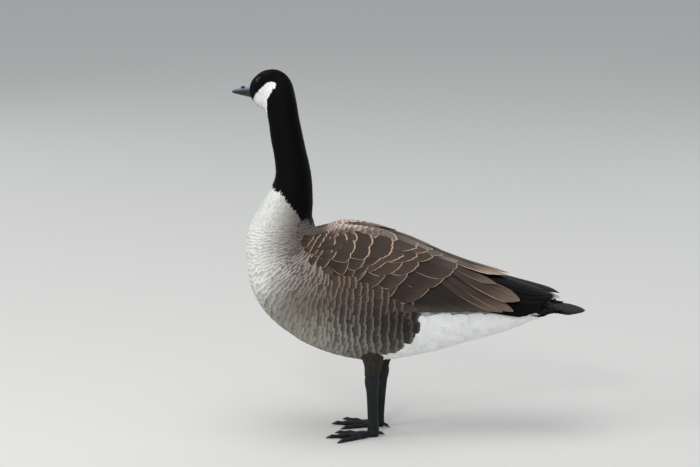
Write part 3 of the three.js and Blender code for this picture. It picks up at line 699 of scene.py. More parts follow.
def velvet(name, s_range, spacing, seed):
    """Short feathers over a length of head or neck, clear of the eyes and shorter beside them."""
    turns = (0, 2 * math.pi)
    roots = scatter(skin_surface, s_range, turns, spacing, seed)
    random = np.random.default_rng(seed + 1)
    s, theta = roots.T
    point = skin_surface(s, theta)
    gap = np.min([np.linalg.norm(point - eye_centre(side), axis=-1) for side in (1, -1)], axis=0)
    clear = (gap > EYE_CLEARANCE) & (s > BILL_CLEARANCE)
    roots, s, theta, point, gap = (value[clear] for value in (roots, s, theta, point, gap))
    count = len(roots)
    length = np.interp(s, [0, 1, 3, 6, 10], [3.2, 4.2, 6.0, 8.0, 12]) * random.uniform(0.85, 1.15, count)
    length = np.minimum(length, np.maximum(gap - TIP_CLEARANCE, SHORTEST_FEATHER))
    width = length * np.interp(s, [0, 5, 10], [0.5, 0.46, 0.48])
    ragged = random.normal(0, 0.45, count)
    colour = markings(s, theta, point, ragged) * random.uniform(0.86, 1.1, (count, 1))
    group = {
        "vanes": vanes(skin_surface, roots, random.normal(0, 0.09, count), length, width, VELVET_ROOT,
                       (coat_depth(s) - VELVET_SINK) / length, SHORT_VANE),
        "ground": colour, "fringe": colour * 1.12, "edge": (0.1, 0.0, 0.0),
        "unwrap": unwrapped(s, theta, s_range, turns),
    }
    return feather_piece(name, [group], velvet_finish)


velvet("head_plumage", (0.0, 4.6), 1.75, 11)
velvet("upper_neck_plumage", (4.5, 7.4), 2.1, 12)
velvet("lower_neck_plumage", (7.3, 10.3), 2.7, 13)


# Eyes
# Each eye is a wet dark ball set in the side of the head, with a ring of bare skin round it
# where the upper and lower lid meet its surface.
EYE_AXIS_FORWARD, EYE_AXIS_UP = 0.20, 0.10
LID_HALF_LENGTH, LID_HALF_HEIGHT = math.radians(44), math.radians(35)
LID_BAND, LID_THICKNESS = math.radians(10), 0.75
EYE_ROWS, EYE_COLUMNS, POLE_GAP = 28, 40, 0.02
LID_ROWS, LID_COLUMNS = 72, 14
LID_FOLDS, LID_FOLD_DEPTH = 9, 0.08

eye_finish = Finish("wet_eye", {
    "Base Color": opaque(14, 9, 7), "Roughness": 0.04, "Specular IOR Level": 0.25, "Coat Weight": 0.35,
    "Coat Roughness": 0.03,
})
lid_finish = Finish("lid_skin", {
    "Base Color": opaque(13, 13, 14), "Roughness": 0.6, "Specular IOR Level": 0.06,
})
lid_finish.bump(lid_finish.noise(lid_finish.where(), 900.0), 0.0002, 0.5)


def ball(centre, radius):
    """Sphere from its poles: radius times (sin a cos b, sin a sin b, cos a)."""
    a, b = crossed(np.linspace(POLE_GAP, math.pi - POLE_GAP, EYE_ROWS), circle(EYE_COLUMNS))
    return centre + radius * np.stack([np.sin(a) * np.cos(b), np.sin(a) * np.sin(b), np.cos(a)], -1)


def lid_ring(side):
    """Ring that hugs the eyeball: at turn p round the opening its middle lies at the angle a(p) off
    the eye's axis, and its oval section spreads by the band's width and the lid's thickness."""
    centre = eye_centre(side)
    tip = head_place(EYE_FORWARD + EYE_AXIS_FORWARD, side * (EYE_SIDE + 1), EYE_HEIGHT + EYE_AXIS_UP)
    axis = (tip - centre) / np.linalg.norm(tip - centre)
    ahead = head_place(EYE_FORWARD + 1, side * EYE_SIDE, EYE_HEIGHT) - centre
    ahead = ahead - axis * (ahead @ axis)
    ahead = ahead / np.linalg.norm(ahead)
    above = np.cross(axis, ahead)
    above = above * np.sign(above[2])
    p, q = crossed(circle(LID_ROWS), circle(LID_COLUMNS))
    opening = 1 / np.sqrt((np.cos(p) / LID_HALF_LENGTH) ** 2 + (np.sin(p) / LID_HALF_HEIGHT) ** 2)
    angle = opening + LID_BAND * (1 + np.cos(q))
    fold = 1 + LID_FOLD_DEPTH * np.sin(LID_FOLDS * p) * np.sin(p)
    radius = EYE_RADIUS + 0.1 + LID_THICKNESS * (0.4 + np.sin(q)) * fold
    p, angle, radius = (value[..., None] for value in (p, angle, radius))
    round_axis = np.cos(p) * ahead + np.sin(p) * above
    return centre + radius * (np.cos(angle) * axis + np.sin(angle) * round_axis)


def ring_faces(rows, columns):
    """Quads of a grid that closes on itself both ways."""
    i, j = crossed(np.arange(rows), np.arange(columns))
    k, m = (i + 1) % rows, (j + 1) % columns
    return np.stack([i * columns + j, i * columns + m, k * columns + m, k * columns + j], -1).reshape(-1, 4)


for name, side in (("left", 1), ("right", -1)):
    eye = tube_piece(f"eyeball_{name}", [ball(eye_centre(side), EYE_RADIUS)], eye_finish)
    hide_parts(f"eye_{name}")
    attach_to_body(eye, "root")
    points = lid_ring(side).reshape(-1, 3)
    quads, _ = outward(points, ring_faces(LID_ROWS, LID_COLUMNS), NO_TRIANGLES)
    lids = write_mesh(f"lids_{name}", points, quads, NO_TRIANGLES, lid_finish)
    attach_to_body(lids, "root")


# Bill
# Two halves of smooth slate-black horn that meet along the mouth line: the upper has a
# hooked nail at its tip and an oval nostril in each side, the lower is a shallow trough.
BILL_BASE, BILL_LEAN, BILL_TIP = 75, 0.18, 122.5
CULMEN_BASE, CULMEN_TIP, MOUTH_BASE, MOUTH_TIP, CHIN_BASE, CHIN_TIP = 644, 630, 629.5, 625, 619, 623
BILL_HALF_BASE, BILL_HALF_TIP = 10.4, 6.0
BILL_GAP = 0.3
NOSTRIL_FORWARD, NOSTRIL_HEIGHT, NOSTRIL_LENGTH, NOSTRIL_RISE, NOSTRIL_DEPTH = 92, 636.8, 12, 4.6, 3.0
NAIL_FROM, NAIL_HALF = 112.5, 4.6
BILL_ROWS, BILL_COLUMNS = 96, 120
LIP_SWELL, LIP_HEIGHT, LIP_SPREAD = 0.35, 0.9, 0.7
RIM_SWELL, NAIL_RISE, NAIL_GROOVE = 0.28, 0.45, 0.15


def bill_half(upper):
    """Ring a at the share f of the bill's length: x = half(f) cos a, and z rises from the mouth line
    by sin(a)^0.8 to the crest, or sinks to the chin. Nostrils and the nail's rim are pressed in.
    With the points comes the painted light on their colour: painted sheen high on the crest, near black on
    the lower half, and painted shade in the nostrils."""
    share, a = crossed(np.linspace(0, 1, BILL_ROWS), circle(BILL_COLUMNS))
    forward = mix(BILL_BASE - 4, BILL_TIP, np.sin(share * math.pi / 2))
    f = np.clip((forward - BILL_BASE) / (BILL_TIP - BILL_BASE), 0, 1)
    blunt = np.sqrt(np.clip(1 - f ** 10, 0, 1)) * 0.93 + 0.07
    half = mix(BILL_HALF_BASE, BILL_HALF_TIP, f) * blunt
    mouth = mix(MOUTH_BASE, MOUTH_TIP, f ** 0.8) - 0.5 * np.sin(f * math.pi)
    crest = mix(CULMEN_BASE, CULMEN_TIP, f) + 1.2 * np.sin(f * math.pi)
    far = crest if upper else mix(CHIN_BASE, CHIN_TIP, f)
    edge = mix(mouth, far, blunt)
    line = mouth + (BILL_GAP / 2 if upper else -BILL_GAP / 2)
    rise = np.maximum(np.sin(a), 0) ** 0.8
    z = mix(line, edge, rise)
    y = half * np.cos(a)
    # Painted sheen: high on the crest the horn's pale grey-blue shows in full and brighter still. Low on
    # the sides and on the lower half it is cut to near black.
    painted_sheen_and_shade = mix(0.1, 1.25, smooth(rise, 0.2, 0.75)) if upper else np.full(z.shape, 0.07)
    if upper:
        over = np.sin(a) > 0
        lip = LIP_SWELL * np.exp(-((z - line - LIP_HEIGHT) / LIP_SPREAD) ** 2) * over
        y = y + np.sign(np.cos(a)) * lip
        ahead, above = (forward - NOSTRIL_FORWARD) / NOSTRIL_LENGTH, (z - NOSTRIL_HEIGHT) / NOSTRIL_RISE
        near = (ahead * 2) ** 2 + (above * 2) ** 2
        pit = NOSTRIL_DEPTH * (1 - smooth(near, 0.35, 1.1)) * over
        # Painted shade darkens the nostril pits.
        painted_sheen_and_shade = painted_sheen_and_shade * mix(1, 0.01, smooth(pit / NOSTRIL_DEPTH, 0.0, 0.5))
        rim = RIM_SWELL * np.exp(-((near - 1.5) / 0.5) ** 2) * over
        y = y - np.sign(np.cos(a)) * (pit - rim)
        nail = ((forward - BILL_TIP) / (BILL_TIP - NAIL_FROM)) ** 2 + (half * np.cos(a) / NAIL_HALF) ** 2
        groove = NAIL_GROOVE * np.exp(-((nail - 1.05) / 0.12) ** 2)
        z = z + (NAIL_RISE * (1 - smooth(nail, 0.75, 1.0)) - groove) * over
    back = BILL_LEAN * (CULMEN_BASE - z) * (1 - f)
    return head_place(forward - back, y, z), painted_sheen_and_shade


horn_finish = Finish("slate_horn", {"Specular IOR Level": 0.25, "Coat Weight": 0.08, "Coat Roughness": 0.2})
where = horn_finish.where()
cloud = horn_finish.noise(where, 90.0, 3.0)
grain = horn_finish.noise(horn_finish.stretch(where, (300.0, 300.0, 900.0)), 1.0, 3.0)
sheen_mottle = horn_finish.between(cloud + grain * 0.25, 0.4, 0.95)
# The horn's pale grey-blue, mottled at random, is painted sheen on a slate-black bill. The attribute of
# painted sheen and shade on the points scales it.
horn = horn_finish.blend(sheen_mottle, opaque(104, 112, 122), opaque(132, 141, 152))
horn_finish.set("Base Color", horn_finish.product(horn, horn_finish.attribute("painted_sheen_and_shade")))
horn_finish.set("Roughness", 0.3 + grain * 0.22)
horn_finish.bump(grain + cloud * 0.5, 0.0003, 0.4)

for name, upper in (("upper", True), ("lower", False)):
    rings, painted_sheen_and_shade = bill_half(upper)
    bill = tube_piece(f"bill_{name}_horn", [rings], horn_finish)
    painted_sheen_and_shade = np.concatenate([painted_sheen_and_shade.ravel(), painted_sheen_and_shade[0, :1], painted_sheen_and_shade[-1, :1]])
    write_colour(bill, "painted_sheen_and_shade", np.repeat(painted_sheen_and_shade[:, None], 3, -1))
    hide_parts(f"bill_{name}")
    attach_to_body(bill, "root")


# Breast, flank, belly, vent and back plumage
# Broad soft feathers laid in rows round the body like shingles. Their pale blunt tips stand
# in line and draw wavy upright bars on the flank; on the breast they are small and faint.
ROW_VANE = {
    "rows": np.array([0, 0.3, 0.55, 0.75, 0.9, 1.0]), "columns": 7, "bend": 0.16, "crown": 0.25,
    "thickness": 0.25, "tilt": 0.0, "ragged": 0.012,
    "outline": [(0, 0.5), (0.45, 0.92), (0.8, 1.0), (0.94, 0.98), (1, 0.9)],
}
BAR_VANE = dict(ROW_VANE, bend=0.055, ragged=0.018)
BAR_EDGE = (0.11, 0.03, 0.3)
LONG_VANE = dict(ROW_VANE, bend=0.35, outline=[(0, 0.6), (0.5, 1.0), (0.8, 0.8), (0.94, 0.5), (1, 0.3)])
ROW_STEPS = np.array([(9.6, 0.1), (11, 0.14), (12, 0.18), (13, 0.215), (14, 0.19), (17, 0.19), (20, 0.16)])
FAN_FROM, FAN_END, FAN_TURN = 11.2, 15.4, math.radians(80)
SIDE_LEVELS = np.linspace(9.4, 16.4, 141)
SIDE_TURNS = np.radians(np.arange(44, 181, 4.0))
SIDE_STEPS = np.array([(9.6, 0.1), (10.6, 0.11), (11.3, 0.1), (12.2, 0.115), (13.2, 0.16), (16, 0.18)])
SIDE_TOP_S = np.array([9.4, 10.4, 10.9, 11.4, 11.8, 12.4, 12.9, 13.4, 14.4, 14.9, 15.4, 15.9])
SIDE_TOP = np.radians([50, 56, 60, 64, 68, 74, 77, 77, 78, 81, 85, 91])
FAN_STEPS, NECK_STEPS = 400, 60
ROW_STEPS_ACROSS, ROW_OVERLAP = 240, 0.62
LAST_TIP = 20


def row_places(steps, first, last):
    """Rows' places from the first to the last, as far apart as the step at each place."""
    places = [first]
    while places[-1] < last:
        places.append(places[-1] + np.interp(places[-1], steps[:, 0], steps[:, 1]))
    return places


def laid(surface, levels, v_range, across, seed, loose=0.012):
    """Roots in rows: one row at each level of u, spaced evenly along v and moved half a step in
    every other row, each a little off its place."""
    random = np.random.default_rng(seed)
    roots = []
    v = np.linspace(*v_range, ROW_STEPS_ACROSS)
    for k, level in enumerate(levels):
        line = surface(np.full(ROW_STEPS_ACROSS, level), v)
        run = np.concatenate([[0], np.cumsum(np.linalg.norm(np.diff(line, axis=0), axis=-1))])
        count = max(int(run[-1] / np.interp(level, *across)), 1)
        place = (np.arange(count) + 0.25 + 0.5 * (k % 2) + random.normal(0, 0.1, count)) / count
        off_level = level + random.normal(0, loose, count)
        roots.append(np.stack([off_level, np.interp(place * run[-1], run, v)], -1))
    return np.concatenate(roots)


def under_wing(s, theta):
    """Whether a place on the body is hidden by a folded wing."""
    a, b = wing_shares(s, theta)
    return (a > 0.08) & (a < 0.7) & (b > np.interp(a, [0.2, 0.4], [0.22, 0.06])) & (b < 0.84)


def tip_section(s, theta, length):
    """Section that a feather of the length reaches from its root, at most the tail's."""
    return np.minimum(s + length / axes(skin_surface, s, theta)[2], LAST_TIP)


def coat(name, surface, roots, s, seed, length, width, unwrap, turn=0.0, share=0.6, lift=0.0, contrast=0.1,
         edge=(0.16, 0.1, 0.0), shape=ROW_VANE):
    """Piece of body feathers that rise from a share of the coat's depth at the root to all of it, and
    the lift, at the tip. Each takes the markings' colour at its tip, darker inside than at its edge."""
    random = np.random.default_rng(seed + 1)
    count = len(roots)
    length = length * random.uniform(0.92, 1.08, count)
    width = width * random.uniform(0.92, 1.1, count)
    depth, theta = coat_depth(s), roots[:, 1]
    tip = tip_section(s, theta, length)
    colour = markings(tip, theta, skin_surface(tip, theta), random.normal(0, 0.8, count))
    colour = colour * random.uniform(0.92, 1.07, (count, 1))
    contrast = np.broadcast_to(contrast, count)[:, None]
    fringe = np.clip(colour * (1 + 2 * contrast) + contrast * 0.05, 0, 0.88)
    turn = turn + random.normal(0, 0.05, count)
    rise = (depth * (1 - share) + lift) / length
    group = {
        "vanes": vanes(surface, roots, turn, length, width, depth * share, rise, shape),
        "ground": colour * (1 - contrast), "fringe": fringe, "edge": edge, "unwrap": unwrap,
    }
    return feather_piece(name, [group], plumage_finish)


def row_coat(name, s_range, turns, sizes, seed, keep=None, **look):
    """Feathers in rows over a stretch of the body; sizes are rows of section, length and width."""
    turns = tuple(math.radians(turn) for turn in turns)
    places, lengths, widths = np.array(sizes, float).T
    levels = row_places(ROW_STEPS, *s_range)
    roots = laid(skin_surface, levels, turns, (places, widths * ROW_OVERLAP), seed)
    shown = ~under_wing(*roots.T)
    if keep is not None:
        shown &= keep(*roots.T)
    roots = roots[shown]
    s, theta = roots.T
    length, width = np.interp(s, places, lengths), np.interp(s, places, widths)
    flat = unwrapped(s, theta, s_range, turns)
    return coat(name, skin_surface, roots, s, seed, length, width, flat, **look)


def before_side(s, theta):
    """Whether a place lies over the side rows' upper end."""
    return half_turn(theta) < np.interp(s, SIDE_TOP_S, SIDE_TOP) + 0.05


def behind_flank_end(s, theta):
    """Whether a place lies on the white vent, with half a row under the flank, clear of the rump."""
    side = np.degrees(half_turn(theta))
    clear = side > np.interp(s, [14, 16.6, 17.4, 18.2, 18.8, 20], [97, 93, 90, 98, 124, 130])
    return (s > np.interp(half_turn(theta), FLANK_END_TURNS, FLANK_END) - 0.55) & clear


def on_back(s, theta):
    """Whether a place lies on the strip between the wings."""
    return half_turn(theta) < np.radians(np.interp(s, [12, 13.2, 14.2], [32, 27, 19]))


def on_rump_side(s, theta):
    """Whether a place lies on the black side of the rump."""
    side = half_turn(theta)
    low, high = np.interp(s, [18.2, 18.6], [0.3, 0.68]), np.interp(s, [17.8, 18.4, 20], [1.4, 1.56, 1.75])
    return (side > low) & (side < high)


def side_rows():
    """Table of the section at which each turn of the body reaches each row. A row's level is the
    section of its place on one fixed turn; there rows fan out round the neck's base like sections,
    and behind it they come to stand upright, each at one x."""
    s = np.linspace(FAN_FROM, 17.6, FAN_STEPS)
    blend = smooth(s, FAN_FROM, FAN_END)
    fixed = body_point(s, np.full(FAN_STEPS, FAN_TURN))[:, 0]
    before = np.linspace(9.0, FAN_FROM - 0.01, NECK_STEPS)
    rising = np.arange(FAN_STEPS) * 1e-4
    columns = []
    for turn in SIDE_TURNS:
        x = np.maximum.accumulate(body_point(s, mix(FAN_TURN, turn, blend))[:, 0]) + rising
        level = np.append(before, np.interp(x, fixed, s))
        columns.append(np.interp(SIDE_LEVELS, level, np.append(before, s)))
    return np.stack(columns, -1)


SIDE_TABLE = side_rows()


def table_place(value, marks):
    """Mark before a value, and the value's share of the way to the next, for even marks."""
    place = np.clip((value - marks[0]) / (marks[1] - marks[0]), 0, len(marks) - 1.001)
    return place.astype(int), place % 1


def side_section(level, theta):
    """Section at a row's level and the turn theta, straight between the table's places."""
    (k, share), (m, side) = table_place(level, SIDE_LEVELS), table_place(half_turn(theta), SIDE_TURNS)
    near = mix(SIDE_TABLE[k, m], SIDE_TABLE[k, m + 1], side)
    return mix(near, mix(SIDE_TABLE[k + 1, m], SIDE_TABLE[k + 1, m + 1], side), share)


def side_surface(level, theta):
    """The skin by row's level and turn."""
    return skin_surface(side_section(level, theta), theta)


def facing(surface, roots, down):
    """Turn of feathers that run back and down by the given angle when seen from the side."""
    forward, square = axes(surface, *roots.T)[:2]
    aim = np.stack(np.broadcast_arrays(np.cos(down), 0.0, -np.sin(down)), -1)
    return np.arctan2((square * aim).sum(-1), (forward * aim).sum(-1))


# The side's roots and lengths, kept clear of the wing, the mantle, the vent and the keel.
levels = row_places(SIDE_STEPS, 9.7, 15.6)
spacing = ([9.6, 11, 14, 16], [6, 8, 14, 16])
halves = [laid(side_surface, levels, np.radians(turns), spacing, seed)
          for turns, seed in (((50, 180), 51), ((-50, -180), 52))]
roots = np.concatenate(halves)
level, theta = roots.T
s, side = side_section(level, theta), half_turn(theta)
length = np.interp(s, [9.4, 10.8, 12, 13.5, 15.5], [14, 19, 25, 30, 38])
length *= 1 + 0.55 * smooth(side, 1.8, 2.6) * smooth(s, 11.1, 11.6) * (1 - smooth(s, 13.0, 14.5))
tip = tip_section(s, theta, length)
shown = side > np.interp(s, SIDE_TOP_S, SIDE_TOP)
shown &= tip < np.interp(side, FLANK_END_TURNS, FLANK_END) + 0.03
shown &= (side < 2.72) | (s < 10.95) | (s > 13.1)
roots, length, s, side = roots[shown], length[shown], s[shown], side[shown]
level, theta = roots.T
# Dark wavy lines, the feathers' downward lean, and how far they stand off the body.
lines = np.maximum(0.8 * smooth(s, 9.9, 11.4) * (1 - smooth(side, 1.4, 2.1)),
                   0.85 * smooth(s, 12.6, 14.2) * (1 - 0.6 * smooth(side, 2.0, 2.5)))
down = math.radians(4) * smooth(s, 12.4, 13.6)
turn = facing(side_surface, roots, down) * smooth(s, 12.4, 13.6)
root_height = mix(0.05, mix(0.75, 0.5, smooth(s, 11, 12.5)), smooth(s, 9.7, 10.5))
lift = smooth(s, 12.0, 13.2) + 3.5 * smooth(s, 10.6, 11.4) * (1 - smooth(side, 1.3, 1.6))
width = np.interp(s, [9.4, 11, 12.5, 14.5, 16], [9, 13, 18, 24, 28])
flat = unwrapped(level, theta, (9.6, 15.8), np.radians([-180, 180]))
coat("side_plumage", side_surface, roots, s, 53, length, width, flat, turn, root_height, lift,
     mix(0.035, 0.34, lines), BAR_EDGE, BAR_VANE)
row_coat("keel_plumage", (10.85, 13.3), (150, 210), [(10, 18, 11), (12, 26, 15), (14, 34, 20)], 28,
         contrast=0.035, edge=BAR_EDGE, shape=BAR_VANE)
row_coat("mantle_plumage", (9.7, 12.1), (-68, 68), [(9.6, 14, 8), (11, 18, 12), (12.3, 22, 16)], 21,
         before_side, contrast=0.24, edge=(0.09, 0.08, 0.3), lift=1.6)
row_coat("vent_plumage", (14.1, 19.1), (84, 276),
         [(14, 34, 22), (17.6, 40, 20), (18.6, 30, 12), (20, 26, 12)], 23,
         behind_flank_end, contrast=0.02, share=0.75)
row_coat("back_plumage", (11.4, 18.2), (-32, 32),
         [(11, 14, 11), (12.5, 20, 16), (14, 28, 20), (17, 36, 18)], 24,
         on_back, contrast=0.16, share=0.5, lift=0.8)
row_coat("rump_plumage", (17.5, 19.6), (-100, 100), [(17, 52, 16), (20, 30, 12)], 26,
         on_rump_side, contrast=0.2, shape=LONG_VANE)
row_coat("uppertail_coverts", UPPERTAIL, (-24, 24), [(18, 24, 13), (20, 20, 10)], 27, contrast=0.03,
         lift=-0.6, shape=LONG_VANE)


# Wings
# Each folded wing is a stack of feathers over the flank, laid from the shoulder to the tail:
# small scapulars, rows of coverts, long tertials and secondaries, and black pointed primaries.
WING_LIFT, WING_GAP, FLANK_DIP = 11.0, 0.35, 3.5
ROOT_TRIES = 5
# Height over the body of the coverts' roots and tips: rows' numbers, millimetres.
COVERT_ROOT_HEIGHTS = ([0, 3, 6], [0.8, 1.2, 2.6])
COVERT_TIP_HEIGHTS = ([0, 3, 6, 12], [2.8, 4.2, 6.4, 7.6])
PRIMARY_ROOT_HEIGHT, PRIMARY_RISE = 1.6, 0.012
# Spans of the roots on the unwrap, as places a and b.
WING_SHEET = ((-0.25, 0.5), (-0.1, 1.0))
PRIMARY_SHEET = ((0.577, 0.613), (-0.05, 0.92))

# Rows of coverts from shoulder to rear: tips' line as places a, b, then count, length, width, and
# how far the first and the last feather point down, in degrees.
WING_ROWS = [
    ([(-0.140, 0.34), (-0.133, 0.60)], 5, 21, 15, 32, 46),
    ([(-0.080, 0.24), (-0.095, 0.49), (-0.105, 0.64)], 5, 24, 17, 30, 46),
    ([(-0.015, 0.18), (-0.042, 0.46), (-0.060, 0.67)], 5, 29, 20, 28, 46),
    ([(0.040, 0.16), (0.000, 0.42), (-0.027, 0.69), (-0.035, 0.75)], 5, 34, 24, 26, 46),
    ([(0.080, 0.15), (0.035, 0.41), (0.018, 0.69), (0.003, 0.77)], 5, 41, 27, 24, 43),
    ([(0.118, 0.14), (0.090, 0.42), (0.045, 0.62), (0.015, 0.76)], 5, 50, 30, 22, 38),
    ([(0.170, 0.12), (0.148, 0.36), (0.120, 0.56), (0.095, 0.78)], 5, 62, 34, 20, 34),
    ([(0.228, 0.06), (0.210, 0.32), (0.180, 0.55), (0.128, 0.80)], 5, 70, 37, 18, 31),
    ([(0.268, 0.05), (0.280, 0.20), (0.268, 0.34), (0.235, 0.52), (0.140, 0.82)], 5, 80, 40, 16, 29),
    ([(0.385, 0.04), (0.368, 0.22), (0.323, 0.38), (0.265, 0.53), (0.188, 0.71), (0.14, 0.84)],
     5, 90, 42, 14, 27),
    ([(0.430, 0.05), (0.398, 0.23), (0.350, 0.38), (0.290, 0.58), (0.225, 0.77), (0.195, 0.86)],
     5, 94, 42, 14, 25),
    ([(0.470, 0.05), (0.443, 0.17), (0.403, 0.33), (0.345, 0.57), (0.283, 0.78), (0.25, 0.90)],
     5, 96, 43, 14, 24),
    ([(0.520, 0.05), (0.497, 0.33), (0.460, 0.52), (0.393, 0.72), (0.315, 0.93)], 5, 104, 45, 14, 23),
]
# Long feathers one by one: tip a, b, root a, b, width.
SECONDARIES = [
    (0.350, 0.96, 0.20, 0.85, 26), (0.385, 0.96, 0.23, 0.81, 26), (0.420, 0.96, 0.26, 0.77, 26),
    (0.460, 0.96, 0.29, 0.71, 26), (0.503, 0.96, 0.31, 0.66, 26), (0.548, 0.955, 0.34, 0.60, 26),
    (0.593, 0.95, 0.37, 0.53, 26),
]
TERTIALS = [
    (0.642, 0.945, 0.40, 0.44, 27), (0.690, 0.93, 0.42, 0.34, 28), (0.727, 0.72, 0.43, 0.17, 44),
    (0.640, 0.42, 0.42, 0.13, 28),
]
UPPER_TERTIALS = [(0.67, 0.11, 0.42, 0.06, 32), (0.71, 0.01, 0.45, 0.0, 30)]
PRIMARIES = [
    (0.890, 0.03, 0.60, -0.03, 50), (0.915, 0.14, 0.60, 0.06, 52), (0.935, 0.26, 0.60, 0.15, 54),
    (0.938, 0.40, 0.60, 0.25, 54), (0.930, 0.55, 0.61, 0.36, 54), (0.912, 0.71, 0.61, 0.48, 50),
    (0.882, 0.86, 0.61, 0.60, 46), (0.848, 0.92, 0.60, 0.71, 42), (0.812, 0.93, 0.59, 0.81, 36),
    (0.772, 0.94, 0.58, 0.89, 30),
]
COVERT_VANE = {
    "rows": np.array([0, 0.25, 0.5, 0.7, 0.82, 0.91, 0.97, 1.0]), "columns": 11, "bend": 0.1, "crown": 0.5,
    "thickness": 0.35, "tilt": 0.05, "ragged": 0.006,
    "outline": [(0, 0.5), (0.4, 0.9), (0.7, 1.0), (0.88, 1.0), (0.96, 0.95), (1, 0.88)],
}
QUILL_VANE = {
    "rows": np.concatenate([np.linspace(0, 0.85, 14), [0.9, 0.94, 0.97, 0.99, 1.0]]), "columns": 11,
    "bend": 0.1, "crown": 0.9, "thickness": 0.4, "tilt": 0.1,
    "outline": [(0, 0.6), (0.3, 0.95), (0.7, 1.0), (0.88, 0.9), (0.95, 0.72), (0.98, 0.5), (1, 0.2)],
}
TERTIAL_OUTLINE = [(0, 0.6), (0.3, 0.95), (0.78, 1.0), (0.9, 0.94), (0.96, 0.8), (0.99, 0.6), (1, 0.36)]
BROAD_OUTLINE = [(0, 0.6), (0.4, 0.85), (0.86, 1.0), (0.93, 0.93), (0.97, 0.75), (0.99, 0.52), (1, 0.3)]
POINTED_VANE = dict(QUILL_VANE, outline=[
    (0, 0.45), (0.4, 0.7), (0.8, 1.0), (0.9, 0.96), (0.95, 0.82), (0.98, 0.56), (1, 0.22)])
SCAPULAR_BROWN, COVERT_BROWN = paint(72, 55, 45), paint(60, 49, 41)
REAR_COVERT_BROWN, TERTIAL_BROWN = paint(70, 57, 49), paint(106, 88, 77)
SECONDARY_BROWN, PRIMARY_BLACK = paint(72, 64, 57), paint(6, 6, 7)
TAN_FRINGE = paint(176, 150, 128)
UPPER_TERTIAL_TAN = paint(168, 142, 126)


def wing_frame(a, b):
    """Sheet of the folded left wing: a runs from shoulder to tip and b from its upper to its lower
    edge, over the body's own surface, lifted behind by the wing's lift and dipped under the flank's
    plumage at its lower front."""
    s = mix(mix(WING_FRONT_TOP, WING_FRONT_LOW, b), WING_REAR, a)
    low = mix(WING_LOW, WING_TIP_LOW, smooth(a, 0.72, 1.02))
    theta = np.radians(mix(WING_TOP, low, b))
    point, normal = with_normal(lambda u, v: body_point(u, v, False), s, theta)
    dip = FLANK_DIP * smooth(b, 0.72, 1.0) * (1 - smooth(a, 0.15, 0.38)) * smooth(a, -0.2, 0.0)
    lift = WING_LIFT * smooth(a, 0.5, 0.85) * (1 - 0.5 * smooth(a, 0.88, 1.02))
    return point + normal * (WING_GAP + lift - dip)[..., None]


def rooted(surface, tips, down, length):
    """Roots and turns of feathers that reach the tips; seen from the side they run back and down by
    the given angle."""
    roots = np.array(tips, float)
    for _ in range(ROOT_TRIES):
        turn = facing(surface, roots, down)
        scale_u, skew, scale_v = axes(surface, *roots.T)[2:]
        beside = length * np.sin(turn)
        roots[:, 1] = tips[:, 1] - beside / scale_v
        roots[:, 0] = tips[:, 0] - (length * np.cos(turn) - skew * beside / scale_v) / scale_u
    return roots, turn


def row_slant(line, tips, turn):
    """How far the tips slant for them to lie along their row's line: its run along the feather for
    each step across it."""
    near, far = (wing_frame(np.interp(tips[:, 1] + step, line[:, 1], line[:, 0]), tips[:, 1] + step)
                 for step in (-0.02, 0.02))
    forward, square = axes(wing_frame, *tips.T)[:2]
    along, across = ((far - near) * forward).sum(-1), ((far - near) * square).sum(-1)
    ahead = along * np.cos(turn) + across * np.sin(turn)
    beside = across * np.cos(turn) - along * np.sin(turn)
    return np.clip(ahead / beside, -0.7, 0.4)


def aimed(surface, table):
    """Roots, turns, lengths and widths of feathers given by tip, root and width."""
    table = np.array(table, float)
    scale_u, skew, scale_v = axes(surface, table[:, 2], table[:, 3])[2:]
    ahead, beside = (table[:, 0] - table[:, 2]) * scale_u, table[:, 1] - table[:, 3]
    ahead, beside = ahead + skew * beside, beside * scale_v
    return table[:, 2:4], np.arctan2(beside, ahead), np.hypot(ahead, beside), table[:, 4]


def mirrored(group):
    """The same feathers on the bird's right side."""
    made = group["vanes"]
    return dict(group, vanes=dict(made, points=made["points"] * (1, -1, 1), mirrored=not made["mirrored"]))


